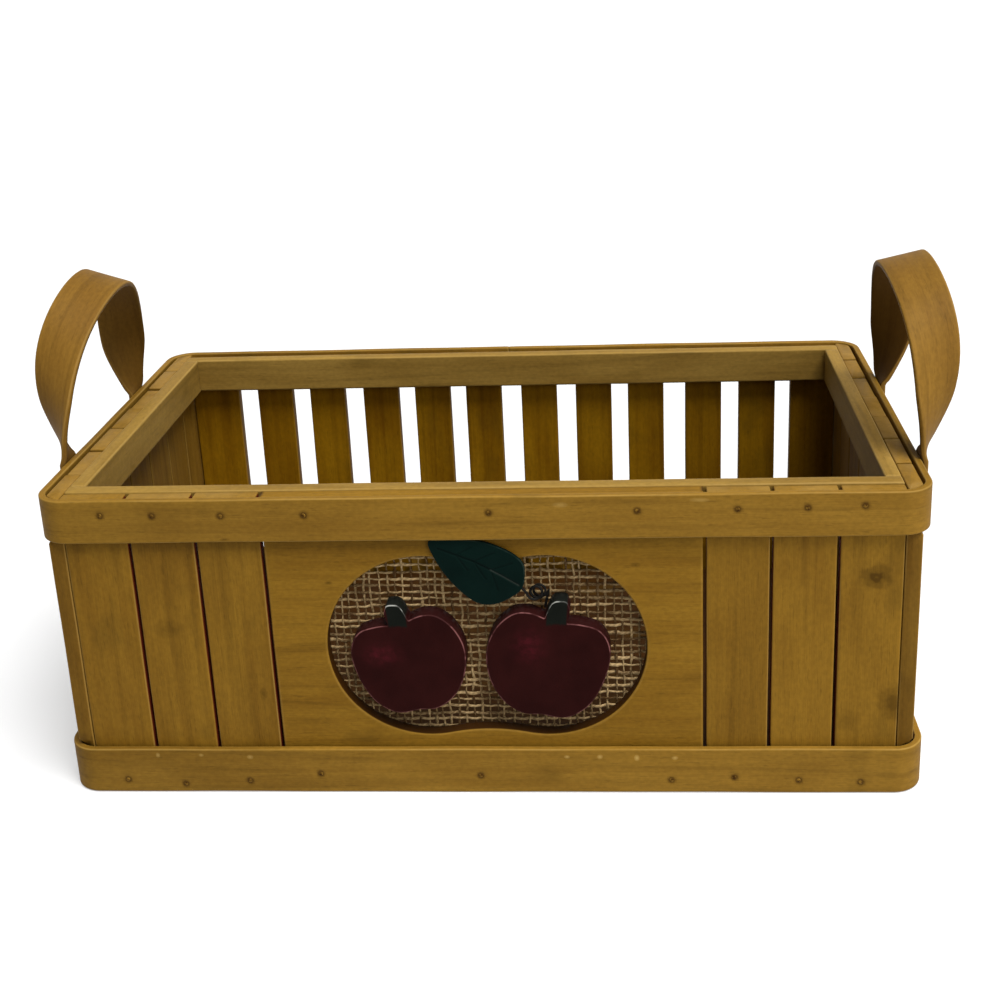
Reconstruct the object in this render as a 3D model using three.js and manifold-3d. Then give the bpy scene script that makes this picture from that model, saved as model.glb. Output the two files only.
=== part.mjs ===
// A wooden basket: upright slats held by nailed bands, with two bent-wood handles and an ornament
// of two painted apples, a leaf and a curled wire in front of burlap.
// Sizes are millimetres and +Z is up. The origin is in the middle of the foot, on the surface that
// the basket stands on. +X runs along the basket, and the ornament faces -Y.

import * as THREE from 'three';
import { mergeVertices } from 'three/addons/utils/BufferGeometryUtils.js';
import Module from 'manifold-3d';

// Body, measured over the top band
const basketLength = 380;
const basketDepth = 209;
const basketHeight = 143;

// Fits: the gap left between pieces that touch
const seatGap = 0.3;

// How finely round outlines are stepped: half a small bend, half a lobe, and between curve points
const bendSteps = 4;
const lobeSteps = 20;
const curveSteps = 3;

// Bands of bent veneer round the rim and the foot
const bandThickness = 3;
const bandCornerRadius = 13.5;
const topBandHeight = 20;
const bottomBandHeight = 22.2;
const bandFaceStandoff = 0.4;
const bandEndStandoff = 1.4;
const bottomBandSpread = 1;

// Slats: those of the two end walls are sawn from a thicker lath
const slatThickness = 6;
const endSlatThickness = 7;
const slatGap = 1.4;
const slatTopDrop = 0.5;
const slatEase = 0.8;
const slatCornerRadius = 3;
const slatsEachSideOfPanel = 3;
const sideSlatCount = 7;
const backSlatCount = 12;

// Back slats, from the left end to the right as the back is seen: the ten between the end ones are
// nailed a little off their even places, and the first and last drift is that of an end slat's edge.
// Their tops lie lower than the others', out of sight behind the rim strip
const backSlatWidth = 19.7;
const backSlatGap = 10.1;
const backSlatShift = -1.7;
const backSlatDrift = [1.4, -0.4, -0.9, 0.9, -0.1, 0.3, 1.3, 0.1, -0.7, -0.2, -0.4, 0.2];
const backSlatDrop = 2.2;

// Front panel, with its two-lobed opening
const panelWidth = 186.6;
const panelShift = 1.6;
const openingShift = 1.5;
const openingDrop = 52.3;
const lobeRadius = 43.3;
const lobeSpacing = 52.2;
const waistAngle = THREE.MathUtils.degToRad(12);

// Rim strips and bottom board
const stripThickness = 7;
const stripHeight = 18;
const boardThickness = 10;
const boardClearance = 0.5;

// Burlap stretched across the back of the panel
const burlapThickness = 1;
const burlapMargin = 9;

// Brads
const headRadius = 1;
const headThickness = 1;
const shankRadius = 0.7;
const pointLength = 1.5;
const nailBite = 4.5;
const nailSides = 6;
const nailDrop = 7;
const panelNailInset = 23.3;
const nailDrift = [4, -1.5, -1, -4, 4, -4.2, -0.5, 0.8, -3.8];

// Handles: a strap nailed flat to the end wall, then twisted a quarter turn into an arch
const strapWidth = 22.2;
const strapThickness = 2.8;
const strapLegWidth = 15;
const strapLegLength = 18.5;
const strapSteps = 36;
const strapTaper = 0.4;
const strapTwist = 0.5;
const strapLeanCurve = 2.5;
const strapNailDrop = 10;
const strapNailShare = 0.65;
const leftHandle = {
  frontLeg: { slat: 1, drift: 4.1 },
  backLeg: { slat: -3, drift: 12.7 },
  rise: 70.8, fullness: 0.67, bulge: 3.2, lean: -7, tilt: 0.32,
};
const rightHandle = {
  frontLeg: { slat: 1, drift: -5.1 },
  backLeg: { slat: -3, drift: 8 },
  rise: 72.9, fullness: 0.52, bulge: 4.6, lean: -0.3, tilt: 0.23,
};

// Apples, sawn with their stems from one board, and their places about the middle of the opening
const appleThickness = 8.6;
const leftApple = { x: -33.8, z: -6.6, scale: 0.92, mirrored: true };
const rightApple = { x: 26.8, z: -7.5, scale: 0.99, mirrored: false };

// Leaf and tendril
const leafThickness = 2.2;
const wireDiameter = 1;
const curlOffset = { x: -3.6, z: 32.9 };
const curlRadius = 2.9;
const curlTurns = 2.5;
const curlPitch = 1.5;
const curlSteps = 24;
const wireSides = 6;

// Colours of the finishes
const material = (color, roughness, metalness = 0) =>
  new THREE.MeshStandardMaterial({ color, roughness, metalness });
const bandWood = () => material(0x9a6f2e, 0.5);
const slatWood = () => material(0x8f6526, 0.55);
const insideWood = () => material(0x6e4a18, 0.65);
const strapWood = () => material(0xa5783a, 0.45);
const burlapCloth = () => material(0x94713c, 0.95);
const appleRed = () => material(0x3a1216, 0.4);
const leafGreen = () => material(0x13251f, 0.5);
const darkWire = () => material(0x17140f, 0.5, 0.6);
const nailSteel = () => material(0x4a3a22, 0.5, 0.7);

// Places that follow from the sizes above
const halfLength = basketLength / 2;
const halfDepth = basketDepth / 2;
const slatEndFace = halfLength - bandThickness - bandEndStandoff;
const slatFrontFace = halfDepth - bandThickness - bandFaceStandoff;
const insideEnd = slatEndFace - endSlatThickness;
const insideFace = slatFrontFace - slatThickness;
const wallRun = insideEnd - seatGap;
const slatTop = basketHeight - slatTopDrop;
const stripFace = insideFace - seatGap;
const stripEnd = insideEnd - seatGap;
const sideStripRun = stripFace - stripThickness - seatGap;
const burlapFront = -insideFace + seatGap;
const appleBack = burlapFront - seatGap;
const leafBack = -slatFrontFace - seatGap;
const topBandFoot = basketHeight - topBandHeight;
const opening = { x: openingShift, z: topBandFoot - openingDrop };

const wasm = await Module();
wasm.setup();

// Turns a closed geometry into a manifold solid
function toSolid(geometry) {
  const bare = geometry.clone();
  bare.deleteAttribute('normal');
  bare.deleteAttribute('uv');
  const merged = mergeVertices(bare, 1e-4);
  return new wasm.Manifold(new wasm.Mesh({
    numProp: 3,
    vertProperties: Float32Array.from(merged.attributes.position.array),
    triVerts: Uint32Array.from(merged.index.array),
  }));
}

// Turns a manifold solid back into a geometry
function toGeometry(solid) {
  const mesh = solid.getMesh();
  const geometry = new THREE.BufferGeometry();
  geometry.setAttribute('position', new THREE.BufferAttribute(Float32Array.from(mesh.vertProperties), 3));
  geometry.setIndex(new THREE.BufferAttribute(Uint32Array.from(mesh.triVerts), 1));
  geometry.computeVertexNormals();
  return geometry;
}

// A box from its lowest to its highest corner
function block(low, high) {
  const size = new THREE.Vector3().subVectors(high, low);
  const middle = new THREE.Vector3().addVectors(low, high).multiplyScalar(0.5);
  return new THREE.BoxGeometry(size.x, size.y, size.z).translate(middle.x, middle.y, middle.z);
}

// A shape drawn in plan, raised from one height to another
function raised(shape, bottom, top, curveSegments = bendSteps) {
  return new THREE.ExtrudeGeometry(shape, { depth: top - bottom, bevelEnabled: false, curveSegments })
    .translate(0, 0, bottom);
}

// A shape drawn as seen from the front, x across and y up, with its back at a given Y
function cutout(shape, back, thickness, curveSegments) {
  return new THREE.ExtrudeGeometry(shape, { depth: thickness, bevelEnabled: false, curveSegments })
    .rotateX(Math.PI / 2)
    .translate(0, back, 0);
}

// Rounded rectangle in plan, given by its half sizes
function roundedPlan(halfX, halfY, radius) {
  const outline = new THREE.Shape();
  outline.moveTo(-halfX + radius, -halfY);
  outline.lineTo(halfX - radius, -halfY);
  outline.absarc(halfX - radius, -halfY + radius, radius, -Math.PI / 2, 0);
  outline.lineTo(halfX, halfY - radius);
  outline.absarc(halfX - radius, halfY - radius, radius, 0, Math.PI / 2);
  outline.lineTo(-halfX + radius, halfY);
  outline.absarc(-halfX + radius, halfY - radius, radius, Math.PI / 2, Math.PI);
  outline.lineTo(-halfX, -halfY + radius);
  outline.absarc(-halfX + radius, -halfY + radius, radius, Math.PI, Math.PI * 1.5);
  return outline;
}

// Bands

function bandGeometry(spread, bottom, top) {
  const outer = roundedPlan(halfLength + spread, halfDepth + spread / 2, bandCornerRadius);
  const innerRadius = bandCornerRadius - bandThickness;
  const inner = roundedPlan(
    halfLength + spread - bandThickness, halfDepth + spread / 2 - bandThickness, innerRadius);
  outer.holes.push(inner);
  return raised(outer, bottom, top);
}

// The room inside a band
function bandRoom(spread, bottom, top) {
  const inset = bandThickness + seatGap;
  return toSolid(raised(
    roundedPlan(
      halfLength + spread - inset, halfDepth + spread / 2 - inset, bandCornerRadius - inset),
    bottom, top));
}

// The room that a corner slat fills: shaved round inside the bends of both bands, and with a small
// round of its own between them
const lowShoulder = bottomBandHeight + seatGap;
const highShoulder = topBandFoot - seatGap;
const cornerRoom = bandRoom(bottomBandSpread, 0, lowShoulder)
  .add(toSolid(raised(
    roundedPlan(slatEndFace, slatFrontFace, slatCornerRadius), lowShoulder, highShoulder)))
  .add(bandRoom(0, highShoulder, basketHeight));

// Slats

// Cross-section of a slat standing along +X with its outer face towards -Y, long edges eased
function slatPlan(width, thickness) {
  const half = width / 2;
  const plan = new THREE.Shape();
  plan.moveTo(-half + slatEase, 0);
  plan.lineTo(half - slatEase, 0);
  plan.lineTo(half, slatEase);
  plan.lineTo(half, thickness);
  plan.lineTo(-half, thickness);
  plan.lineTo(-half, slatEase);
  return plan;
}

// Widths and middles of slats that fill a run with a gap between them
function evenSlats(from, to, count, gap) {
  const width = (to - from - gap * (count - 1)) / count;
  return Array.from({ length: count }, (_, i) => ({
    middle: from + width / 2 + i * (width + gap),
    width,
  }));
}

const panelLeft = panelShift - panelWidth / 2;
const panelRight = panelShift + panelWidth / 2;
const frontSlats = [
  ...evenSlats(-wallRun, panelLeft - slatGap, slatsEachSideOfPanel, slatGap),
  ...evenSlats(panelRight + slatGap, wallRun, slatsEachSideOfPanel, slatGap),
];
const backPitch = backSlatWidth + backSlatGap;
const backRun = ((backSlatCount - 2) * backPitch - backSlatGap) / 2;
const firstBackEdge = backSlatShift - backRun - backSlatGap + backSlatDrift.at(0);
const lastBackEdge = backSlatShift + backRun + backSlatGap + backSlatDrift.at(-1);
const evenBackSlats = evenSlats(
  backSlatShift - backRun, backSlatShift + backRun, backSlatCount - 2, backSlatGap);
const backSlats = [
  ...evenSlats(-wallRun, firstBackEdge, 1, backSlatGap),
  ...evenBackSlats.map((slat, i) => ({ ...slat, middle: slat.middle + backSlatDrift[i + 1] })),
  ...evenSlats(lastBackEdge, wallRun, 1, backSlatGap),
];
const sideSlats = evenSlats(-slatFrontFace, slatFrontFace, sideSlatCount, slatGap);

// The four walls: a turn about Z that takes a wall drawn at the front to its place, the distance
// from the middle to the outer face of its slats, their thickness, how far the bands stand off
// from them, and how far they end below the others' tops
const longWall = { face: slatFrontFace, thickness: slatThickness, standoff: bandFaceStandoff };
const endWall = { face: slatEndFace, thickness: endSlatThickness, standoff: bandEndStandoff };
const walls = {
  front: { ...longWall, turn: 0, drop: 0 },
  right: { ...endWall, turn: Math.PI / 2, drop: 0 },
  back: { ...longWall, turn: Math.PI, drop: backSlatDrop },
  left: { ...endWall, turn: -Math.PI / 2, drop: 0 },
};

function slatGeometry(wall, slat) {
  return raised(slatPlan(slat.width, wall.thickness), 0, slatTop - wall.drop)
    .translate(slat.middle, -wall.face, 0)
    .rotateZ(wall.turn);
}

// Front panel and its opening

function openingOutline() {
  const half = lobeSpacing / 2;
  const waistX = half - lobeRadius * Math.sin(waistAngle);
  const waistZ = lobeRadius * Math.cos(waistAngle);
  const dip = waistZ - waistX * Math.tan(waistAngle);
  const top = Math.PI / 2 - waistAngle;
  const outline = new THREE.Path();
  outline.absarc(half, 0, lobeRadius, Math.PI + top, Math.PI - top + 2 * Math.PI);
  outline.quadraticCurveTo(0, dip, -waistX, waistZ);
  outline.absarc(-half, 0, lobeRadius, top, 2 * Math.PI - top);
  outline.quadraticCurveTo(0, -dip, waistX, -waistZ);
  return outline.getPoints(lobeSteps).map(
    (point) => new THREE.Vector2(point.x + opening.x, point.y + opening.z));
}

function panelGeometry() {
  const outline = new THREE.Shape([
    new THREE.Vector2(panelLeft, 0), new THREE.Vector2(panelRight, 0),
    new THREE.Vector2(panelRight, slatTop), new THREE.Vector2(panelLeft, slatTop),
  ]);
  outline.holes.push(new THREE.Path(openingOutline()));
  return cutout(outline, -insideFace, slatThickness);
}

// The burlap reaches past the lobes at both ends, and from the bottom board up to the rim strip
function burlapGeometry() {
  const halfX = lobeSpacing / 2 + lobeRadius + burlapMargin;
  return block(
    new THREE.Vector3(opening.x - halfX, burlapFront, boardThickness + seatGap),
    new THREE.Vector3(
      opening.x + halfX, burlapFront + burlapThickness, basketHeight - stripHeight - seatGap));
}

// Rim strips and bottom board

function endToEndStrip(side) {
  const outer = side * stripFace;
  const inner = side * (stripFace - stripThickness);
  return block(
    new THREE.Vector3(-stripEnd, Math.min(outer, inner), basketHeight - stripHeight),
    new THREE.Vector3(stripEnd, Math.max(outer, inner), basketHeight));
}

function sideStrip(side) {
  const outer = side * stripEnd;
  const inner = side * (stripEnd - stripThickness);
  return block(
    new THREE.Vector3(Math.min(outer, inner), -sideStripRun, basketHeight - stripHeight),
    new THREE.Vector3(Math.max(outer, inner), sideStripRun, basketHeight));
}

function boardGeometry() {
  const halfX = insideEnd - boardClearance;
  const halfY = insideFace - boardClearance;
  return block(
    new THREE.Vector3(-halfX, -halfY, 0),
    new THREE.Vector3(halfX, halfY, boardThickness));
}

// Handles

const strapWallX = halfLength + seatGap + strapThickness / 2;

// A leg stands over one slat of its wall, counted from the front, or with a minus from the back
const legSlat = (leg) => sideSlats.at(leg.slat);
const legMiddle = (leg) => legSlat(leg).middle + leg.drift;

// Middle line of the arch above the rim, from the front leg (0) to the back leg (1): the height is
// a power of a half sine wave, so a small fullness gives a squarer arch
class ArchLine extends THREE.Curve {
  constructor(handle) {
    super();
    this.handle = handle;
    this.middle = (legMiddle(handle.backLeg) + legMiddle(handle.frontLeg)) / 2;
    this.halfSpan = (legMiddle(handle.backLeg) - legMiddle(handle.frontLeg)) / 2;
  }

  heightShare(t) {
    return Math.sin(Math.PI * t) ** this.handle.fullness;
  }

  getPoint(t, target = new THREE.Vector3()) {
    const { rise, bulge, lean } = this.handle;
    const share = t <= 0 || t >= 1 ? 0 : this.heightShare(t);
    return target.set(
      strapWallX + lean * share ** strapLeanCurve + 4 * bulge * share * (1 - share),
      this.middle - this.halfSpan * Math.cos(Math.PI * t),
      basketHeight + rise * share);
  }
}

// One station of the strap: its middle, its width, its width direction and its outward direction
function strapStation(point, along, share, tilt, legSide) {
  const turn = (Math.PI / 2) * share ** strapTwist;
  const across = new THREE.Vector3(
    Math.sin(turn) * Math.cos(tilt), legSide * Math.cos(turn), Math.sin(turn) * Math.sin(tilt));
  across.addScaledVector(along, -across.dot(along)).normalize();
  const outward = new THREE.Vector3().crossVectors(across, along);
  const spread = THREE.MathUtils.smoothstep(share, 0, strapTaper);
  const width = THREE.MathUtils.lerp(strapLegWidth, strapWidth, spread);
  return { point, width, across, outward };
}

function strapStations(handle) {
  const line = new ArchLine(handle);
  const up = new THREE.Vector3(0, 0, 1);
  const stations = [];
  for (let i = 0; i <= strapSteps; i += 1) {
    const t = line.getUtoTmapping(i / strapSteps);
    const onLeg = i === 0 || i === strapSteps;
    const along = onLeg ? up.clone().multiplyScalar(i === 0 ? 1 : -1) : line.getTangent(t);
    const share = onLeg ? 0 : line.heightShare(t);
    stations.push(strapStation(line.getPoint(t), along, share, handle.tilt, t < 0.5 ? 1 : -1));
  }
  for (const end of [stations[0], stations[strapSteps]]) {
    const foot = end.point.clone().setZ(basketHeight - strapLegLength);
    const leg = { ...end, point: foot };
    if (end === stations[0]) stations.unshift(leg);
    else stations.push(leg);
  }
  return stations;
}

// Skins the stations with a four-sided section and closes both ends
function strapGeometry(handle, side) {
  const positions = [];
  const corners = [[-1, 1], [1, 1], [1, -1], [-1, -1]];
  const stations = strapStations(handle);
  for (const { point, width, across, outward } of stations) {
    for (const [a, o] of corners) {
      const corner = point.clone()
        .addScaledVector(across, (a * width) / 2)
        .addScaledVector(outward, (o * strapThickness) / 2);
      positions.push(side * corner.x, corner.y, corner.z);
    }
  }
  const indices = [];
  const face = (...loop) => {
    const [a, b, c, d] = side > 0 ? loop : loop.reverse();
    indices.push(a, b, c, a, c, d);
  };
  for (let s = 0; s + 1 < stations.length; s += 1) {
    for (let k = 0; k < corners.length; k += 1) {
      const next = (k + 1) % corners.length;
      const [here, there] = [s * corners.length, (s + 1) * corners.length];
      face(here + k, here + next, there + next, there + k);
    }
  }
  const last = (stations.length - 1) * corners.length;
  face(3, 2, 1, 0);
  face(last, last + 1, last + 2, last + 3);
  const geometry = new THREE.BufferGeometry();
  geometry.setAttribute('position', new THREE.Float32BufferAttribute(positions, 3));
  geometry.setIndex(indices);
  geometry.computeVertexNormals();
  return geometry;
}

// Nails, each given by the wall, its place along the wall, its height, and how far out its head is

function nailGeometry(length) {
  const profile = [
    [0, -length], [shankRadius, -length + pointLength], [shankRadius, -headThickness],
    [headRadius, -headThickness], [headRadius, 0], [0, 0],
  ].map(([radius, height]) => new THREE.Vector2(radius, height));
  return new THREE.LatheGeometry(profile, nailSides).rotateX(Math.PI);
}

// Puts something drawn with its head at the origin and its shank along +Y into its wall
function inWall(geometry, wall, nail) {
  return geometry.translate(nail.along, -nail.headFace, nail.height).rotateZ(wall.turn);
}

function shaftGeometry(radius, length) {
  return new THREE.CylinderGeometry(radius, radius, length, nailSides).translate(0, length / 2, 0);
}

// Hole for the shank from the outer face inwards, and the wider hole for the head in the outer layer
const holeRadius = (radius) => (radius + seatGap) / Math.cos(Math.PI / nailSides);

function shankHole(wall, nail) {
  const deep = nail.length + seatGap;
  return toSolid(inWall(shaftGeometry(holeRadius(shankRadius), deep), wall, nail));
}

function headHole(wall, nail, layer) {
  const proud = seatGap;
  const shaft = shaftGeometry(holeRadius(headRadius), layer + proud * 2).translate(0, -proud, 0);
  return toSolid(inWall(shaft, wall, nail));
}

function drilled(geometry, holes) {
  if (holes.length === 0) return geometry;
  return toGeometry(holes.reduce((solid, hole) => solid.subtract(hole), toSolid(geometry)));
}

const handlesOf = { left: leftHandle, right: rightHandle };

// Along the right wall +X of the drawing becomes +Y, and along the left wall it becomes -Y
const alongSign = { left: -1, right: 1 };

// A nail from its head's face through the wall, with its point in the piece behind the slats
function nailAt(wallName, along, height, headFace) {
  const { face, thickness } = walls[wallName];
  const length = headFace - face + thickness + seatGap + nailBite;
  return { wallName, along, height, headFace, length };
}

const panel = { middle: panelShift, width: panelWidth };
const panelNailPlaces = [panelLeft + panelNailInset, panelShift, panelRight - panelNailInset];
const bandNails = [...frontSlats.map((slat) => slat.middle), ...panelNailPlaces]
  .sort((a, b) => a - b)
  .map((middle, i) => nailAt('front', middle + nailDrift[i], basketHeight - nailDrop, halfDepth));

// One nail in each leg of each handle, part of the way from the middle of the slat to that of the leg
const strapNails = ['left', 'right'].flatMap((side) => {
  const { frontLeg, backLeg } = handlesOf[side];
  return [frontLeg, backLeg].map((leg) => {
    const y = legSlat(leg).middle + strapNailShare * leg.drift;
    const headFace = halfLength + seatGap + strapThickness;
    return nailAt(side, y * alongSign[side], basketHeight - strapNailDrop, headFace);
  });
});

const shankHoles = (nails) => nails.map((nail) => shankHole(walls[nail.wallName], nail));
const headHoles = (nails, layer) => nails.map((nail) => headHole(walls[nail.wallName], nail, layer));
const nailsIn = (wallName) => (
  [...bandNails, ...strapNails].filter((nail) => nail.wallName === wallName));

// Nails that pass through one slat
const nailsInSlat = (wallName, slat) => (
  nailsIn(wallName).filter((nail) => Math.abs(nail.along - slat.middle) < slat.width / 2));

// Apples

// Right-hand apple about its own middle: from the left foot of the stem down round to its right foot
const appleCurve = [
  [-0.9, 22.8], [-7.4, 25.5], [-14.3, 25.1], [-21.3, 19.6], [-26, 11], [-27.2, 1.9], [-25.4, -8.7],
  [-20, -18.3], [-12, -24], [-3.7, -24.7], [4, -26.4], [10, -25.4], [17.5, -20], [23.5, -10],
  [27.1, 2.5], [26.4, 11], [22.4, 16.9], [15, 19.5], [8.6, 20.2],
];
const stemCurve = [[10.2, 26.8], [8.2, 30.8], [4.4, 31], [1.8, 28]];

function appleOutline({ x, z, scale, mirrored }) {
  const sign = mirrored ? -1 : 1;
  const place = ([px, pz]) => (
    new THREE.Vector2(opening.x + x + sign * scale * px, opening.z + z + scale * pz));
  const body = appleCurve.map(place);
  const outline = new THREE.Shape();
  outline.moveTo(body[0].x, body[0].y);
  outline.splineThru(body.slice(1));
  for (const point of stemCurve.map(place)) outline.lineTo(point.x, point.y);
  return outline;
}

function appleGeometry(apple) {
  return cutout(appleOutline(apple), appleBack, appleThickness, curveSteps);
}

// Leaf, from its tip under the top band to its stalk: places across from the middle of the opening
// and down from the band
const leafTip = [-22.1, -1.2];
const leafStalk = [16.7, -23.5];
const upperSide = [[-14.5, -0.4], [-1.1, -1], [10, -5.2], [17.1, -10.8], [18.2, -17.3]];
const lowerSide = [[12.5, -27.3], [5.5, -30.6], [-1.5, -30.5], [-8.1, -26], [-15.4, -17.3], [-20, -8.9]];
const leafPlace = ([x, z]) => new THREE.Vector2(opening.x + x, topBandFoot + z);

function leafGeometry() {
  const outline = new THREE.Shape();
  const tip = leafPlace(leafTip);
  outline.moveTo(tip.x, tip.y);
  outline.splineThru([...upperSide, leafStalk].map(leafPlace));
  outline.splineThru([...lowerSide, leafTip].map(leafPlace));
  return cutout(outline, leafBack, leafThickness, curveSteps);
}

// Tendril: a wire that comes out from behind the leaf, curls round and ends on the right apple

const wireRadius = wireDiameter / 2;
const wireClearance = wireRadius + seatGap;
const curlMiddle = {
  x: opening.x + rightApple.x + curlOffset.x,
  z: opening.z + rightApple.z + curlOffset.z,
};

function tendrilPoints() {
  const stepsInAll = Math.round(curlTurns * curlSteps);
  const startAngle = Math.PI;
  const startY = leafBack + wireClearance;
  const stalk = leafPlace(leafStalk);
  const points = [
    new THREE.Vector3(stalk.x - wireDiameter * 3, startY, stalk.y),
    new THREE.Vector3(stalk.x, startY, stalk.y - wireDiameter),
  ];
  for (let i = 0; i <= stepsInAll; i += 1) {
    const angle = startAngle + (2 * Math.PI * i) / curlSteps;
    points.push(new THREE.Vector3(
      curlMiddle.x + curlRadius * Math.cos(angle),
      startY + (curlPitch * i) / curlSteps,
      curlMiddle.z + curlRadius * Math.sin(angle)));
  }
  const shoulder = appleCurve[0];
  points.push(new THREE.Vector3(
    opening.x + rightApple.x + rightApple.scale * shoulder[0],
    points.at(-1).y,
    opening.z + rightApple.z + rightApple.scale * shoulder[1] + wireClearance + wireDiameter));
  return points;
}

// Sweeps a small polygon along the points, carrying its frame from one step to the next
function wireGeometry(points) {
  const positions = [];
  const indices = [];
  let across = new THREE.Vector3(0, 1, 0);
  points.forEach((point, i) => {
    const along = new THREE.Vector3()
      .subVectors(points[Math.min(i + 1, points.length - 1)], points[Math.max(i - 1, 0)])
      .normalize();
    across = across.clone().addScaledVector(along, -across.dot(along)).normalize();
    const up = new THREE.Vector3().crossVectors(along, across);
    for (let k = 0; k < wireSides; k += 1) {
      const angle = (2 * Math.PI * k) / wireSides;
      const corner = point.clone()
        .addScaledVector(across, wireRadius * Math.cos(angle))
        .addScaledVector(up, wireRadius * Math.sin(angle));
      positions.push(corner.x, corner.y, corner.z);
    }
  });
  const ring = (i, k) => i * wireSides + (k % wireSides);
  for (let i = 0; i + 1 < points.length; i += 1) {
    for (let k = 0; k < wireSides; k += 1) {
      indices.push(ring(i, k), ring(i, k + 1), ring(i + 1, k + 1));
      indices.push(ring(i, k), ring(i + 1, k + 1), ring(i + 1, k));
    }
  }
  for (let k = 1; k + 1 < wireSides; k += 1) {
    indices.push(ring(0, 0), ring(0, k + 1), ring(0, k));
    indices.push(ring(points.length - 1, 0), ring(points.length - 1, k), ring(points.length - 1, k + 1));
  }
  const geometry = new THREE.BufferGeometry();
  geometry.setAttribute('position', new THREE.Float32BufferAttribute(positions, 3));
  geometry.setIndex(indices);
  geometry.computeVertexNormals();
  return geometry;
}

// Least gap between parts of the wire that are more than half a turn apart along it
function leastSelfGap(points) {
  let least = Infinity;
  for (let i = 0; i < points.length; i += 1) {
    for (let j = i + curlSteps / 2; j < points.length; j += 1) {
      least = Math.min(least, points[i].distanceTo(points[j]) - wireDiameter);
    }
  }
  return least;
}

// Assembly

const basket = new THREE.Group();

function add(name, geometry, finish) {
  const mesh = new THREE.Mesh(geometry, finish);
  mesh.name = name;
  basket.add(mesh);
}

add('top_outer_band', drilled(
  bandGeometry(0, topBandFoot, basketHeight),
  [...headHoles(bandNails, bandThickness), ...shankHoles(strapNails)]), bandWood());
add('bottom_outer_band', bandGeometry(bottomBandSpread, 0, bottomBandHeight), bandWood());

for (const [name, geometry, wallName] of [
  ['front_rim_strip', endToEndStrip(-1), 'front'], ['back_rim_strip', endToEndStrip(1), 'back'],
  ['left_rim_strip', sideStrip(-1), 'left'], ['right_rim_strip', sideStrip(1), 'right'],
]) {
  add(name, drilled(geometry, shankHoles(nailsIn(wallName))), insideWood());
}

function addSlats(wallName, slats, label) {
  slats.forEach((slat, i) => {
    let geometry = slatGeometry(walls[wallName], slat);
    const inBend = (wallName === 'left' || wallName === 'right') && (i === 0 || i === slats.length - 1);
    if (inBend) geometry = toGeometry(toSolid(geometry).intersect(cornerRoom));
    const holes = shankHoles(nailsInSlat(wallName, slat));
    add(`${label}_slat_${i + 1}`, drilled(geometry, holes), slatWood());
  });
}

addSlats('front', frontSlats, 'front');
addSlats('back', backSlats, 'back');
addSlats('left', sideSlats, 'left');
addSlats('right', sideSlats, 'right');

add('front_panel', drilled(panelGeometry(), shankHoles(nailsInSlat('front', panel))), slatWood());
add('bottom_board', boardGeometry(), insideWood());
add('burlap', burlapGeometry(), burlapCloth());

for (const [wallName, side] of Object.entries(alongSign)) {
  const nails = strapNails.filter((nail) => nail.wallName === wallName);
  add(`${wallName}_handle`, drilled(
    strapGeometry(handlesOf[wallName], side), headHoles(nails, strapThickness)), strapWood());
}

add('left_apple', appleGeometry(leftApple), appleRed());
add('right_apple', appleGeometry(rightApple), appleRed());
add('leaf', leafGeometry(), leafGreen());

const tendril = tendrilPoints();
console.log(`tendril: least gap to itself ${leastSelfGap(tendril).toFixed(2)} mm`);
add('wire_tendril', wireGeometry(tendril), darkWire());

const addNail = (name, nail) => (
  add(name, inWall(nailGeometry(nail.length), walls[nail.wallName], nail), nailSteel()));
bandNails.forEach((nail, i) => addNail(`top_band_nail_${i + 1}`, nail));
strapNails.forEach((nail, i) => addNail(`${nail.wallName}_handle_nail_${(i % 2) + 1}`, nail));

export default basket;
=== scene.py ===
# %% [markdown]
# # A wooden basket with an apple ornament
#
# The basket is a box of upright laths held between two bent bands, with a strap handle at each
# end. Two painted apples, a leaf and a curl of wire sit in a cutout at the front, on burlap.
# The frame that is loaded first holds every solid at its real size, so each new surface below is
# built straight where its solid stands. Lengths are in metres.

# %% Load the frame
import math

import bpy
import numpy as np
from mathutils import Matrix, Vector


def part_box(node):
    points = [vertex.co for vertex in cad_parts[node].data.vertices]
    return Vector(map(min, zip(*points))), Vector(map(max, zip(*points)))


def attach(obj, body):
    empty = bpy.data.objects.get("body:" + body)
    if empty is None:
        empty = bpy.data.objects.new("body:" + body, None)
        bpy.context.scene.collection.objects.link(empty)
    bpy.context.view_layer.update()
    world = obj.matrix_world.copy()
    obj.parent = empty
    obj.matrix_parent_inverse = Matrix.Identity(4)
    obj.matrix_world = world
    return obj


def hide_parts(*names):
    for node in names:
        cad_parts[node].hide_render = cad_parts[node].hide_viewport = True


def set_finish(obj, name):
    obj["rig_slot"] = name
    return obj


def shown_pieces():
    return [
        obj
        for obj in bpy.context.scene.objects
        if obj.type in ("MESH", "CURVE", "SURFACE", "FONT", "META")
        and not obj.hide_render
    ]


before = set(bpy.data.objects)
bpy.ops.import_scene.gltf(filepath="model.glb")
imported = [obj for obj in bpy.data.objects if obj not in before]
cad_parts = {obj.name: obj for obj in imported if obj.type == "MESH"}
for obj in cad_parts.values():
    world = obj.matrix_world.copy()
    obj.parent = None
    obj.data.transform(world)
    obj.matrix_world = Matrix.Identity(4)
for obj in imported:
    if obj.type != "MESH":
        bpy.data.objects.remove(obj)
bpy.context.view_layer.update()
mm = 0.001
random = np.random.default_rng(12)
print(len(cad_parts), "solids in the frame")

# %% [markdown]
# ## Surfaces from grids
#
# Nearly every piece here is a bar: a rounded cross-section carried along a line. The line is
# straight for a lath, a rounded rectangle for a band and an arch for a handle. Working the points
# out as one array keeps the number of faces where the eye needs it, and lets each point carry
# its own place along and across the grain, which the wood's pattern reads later.

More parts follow.
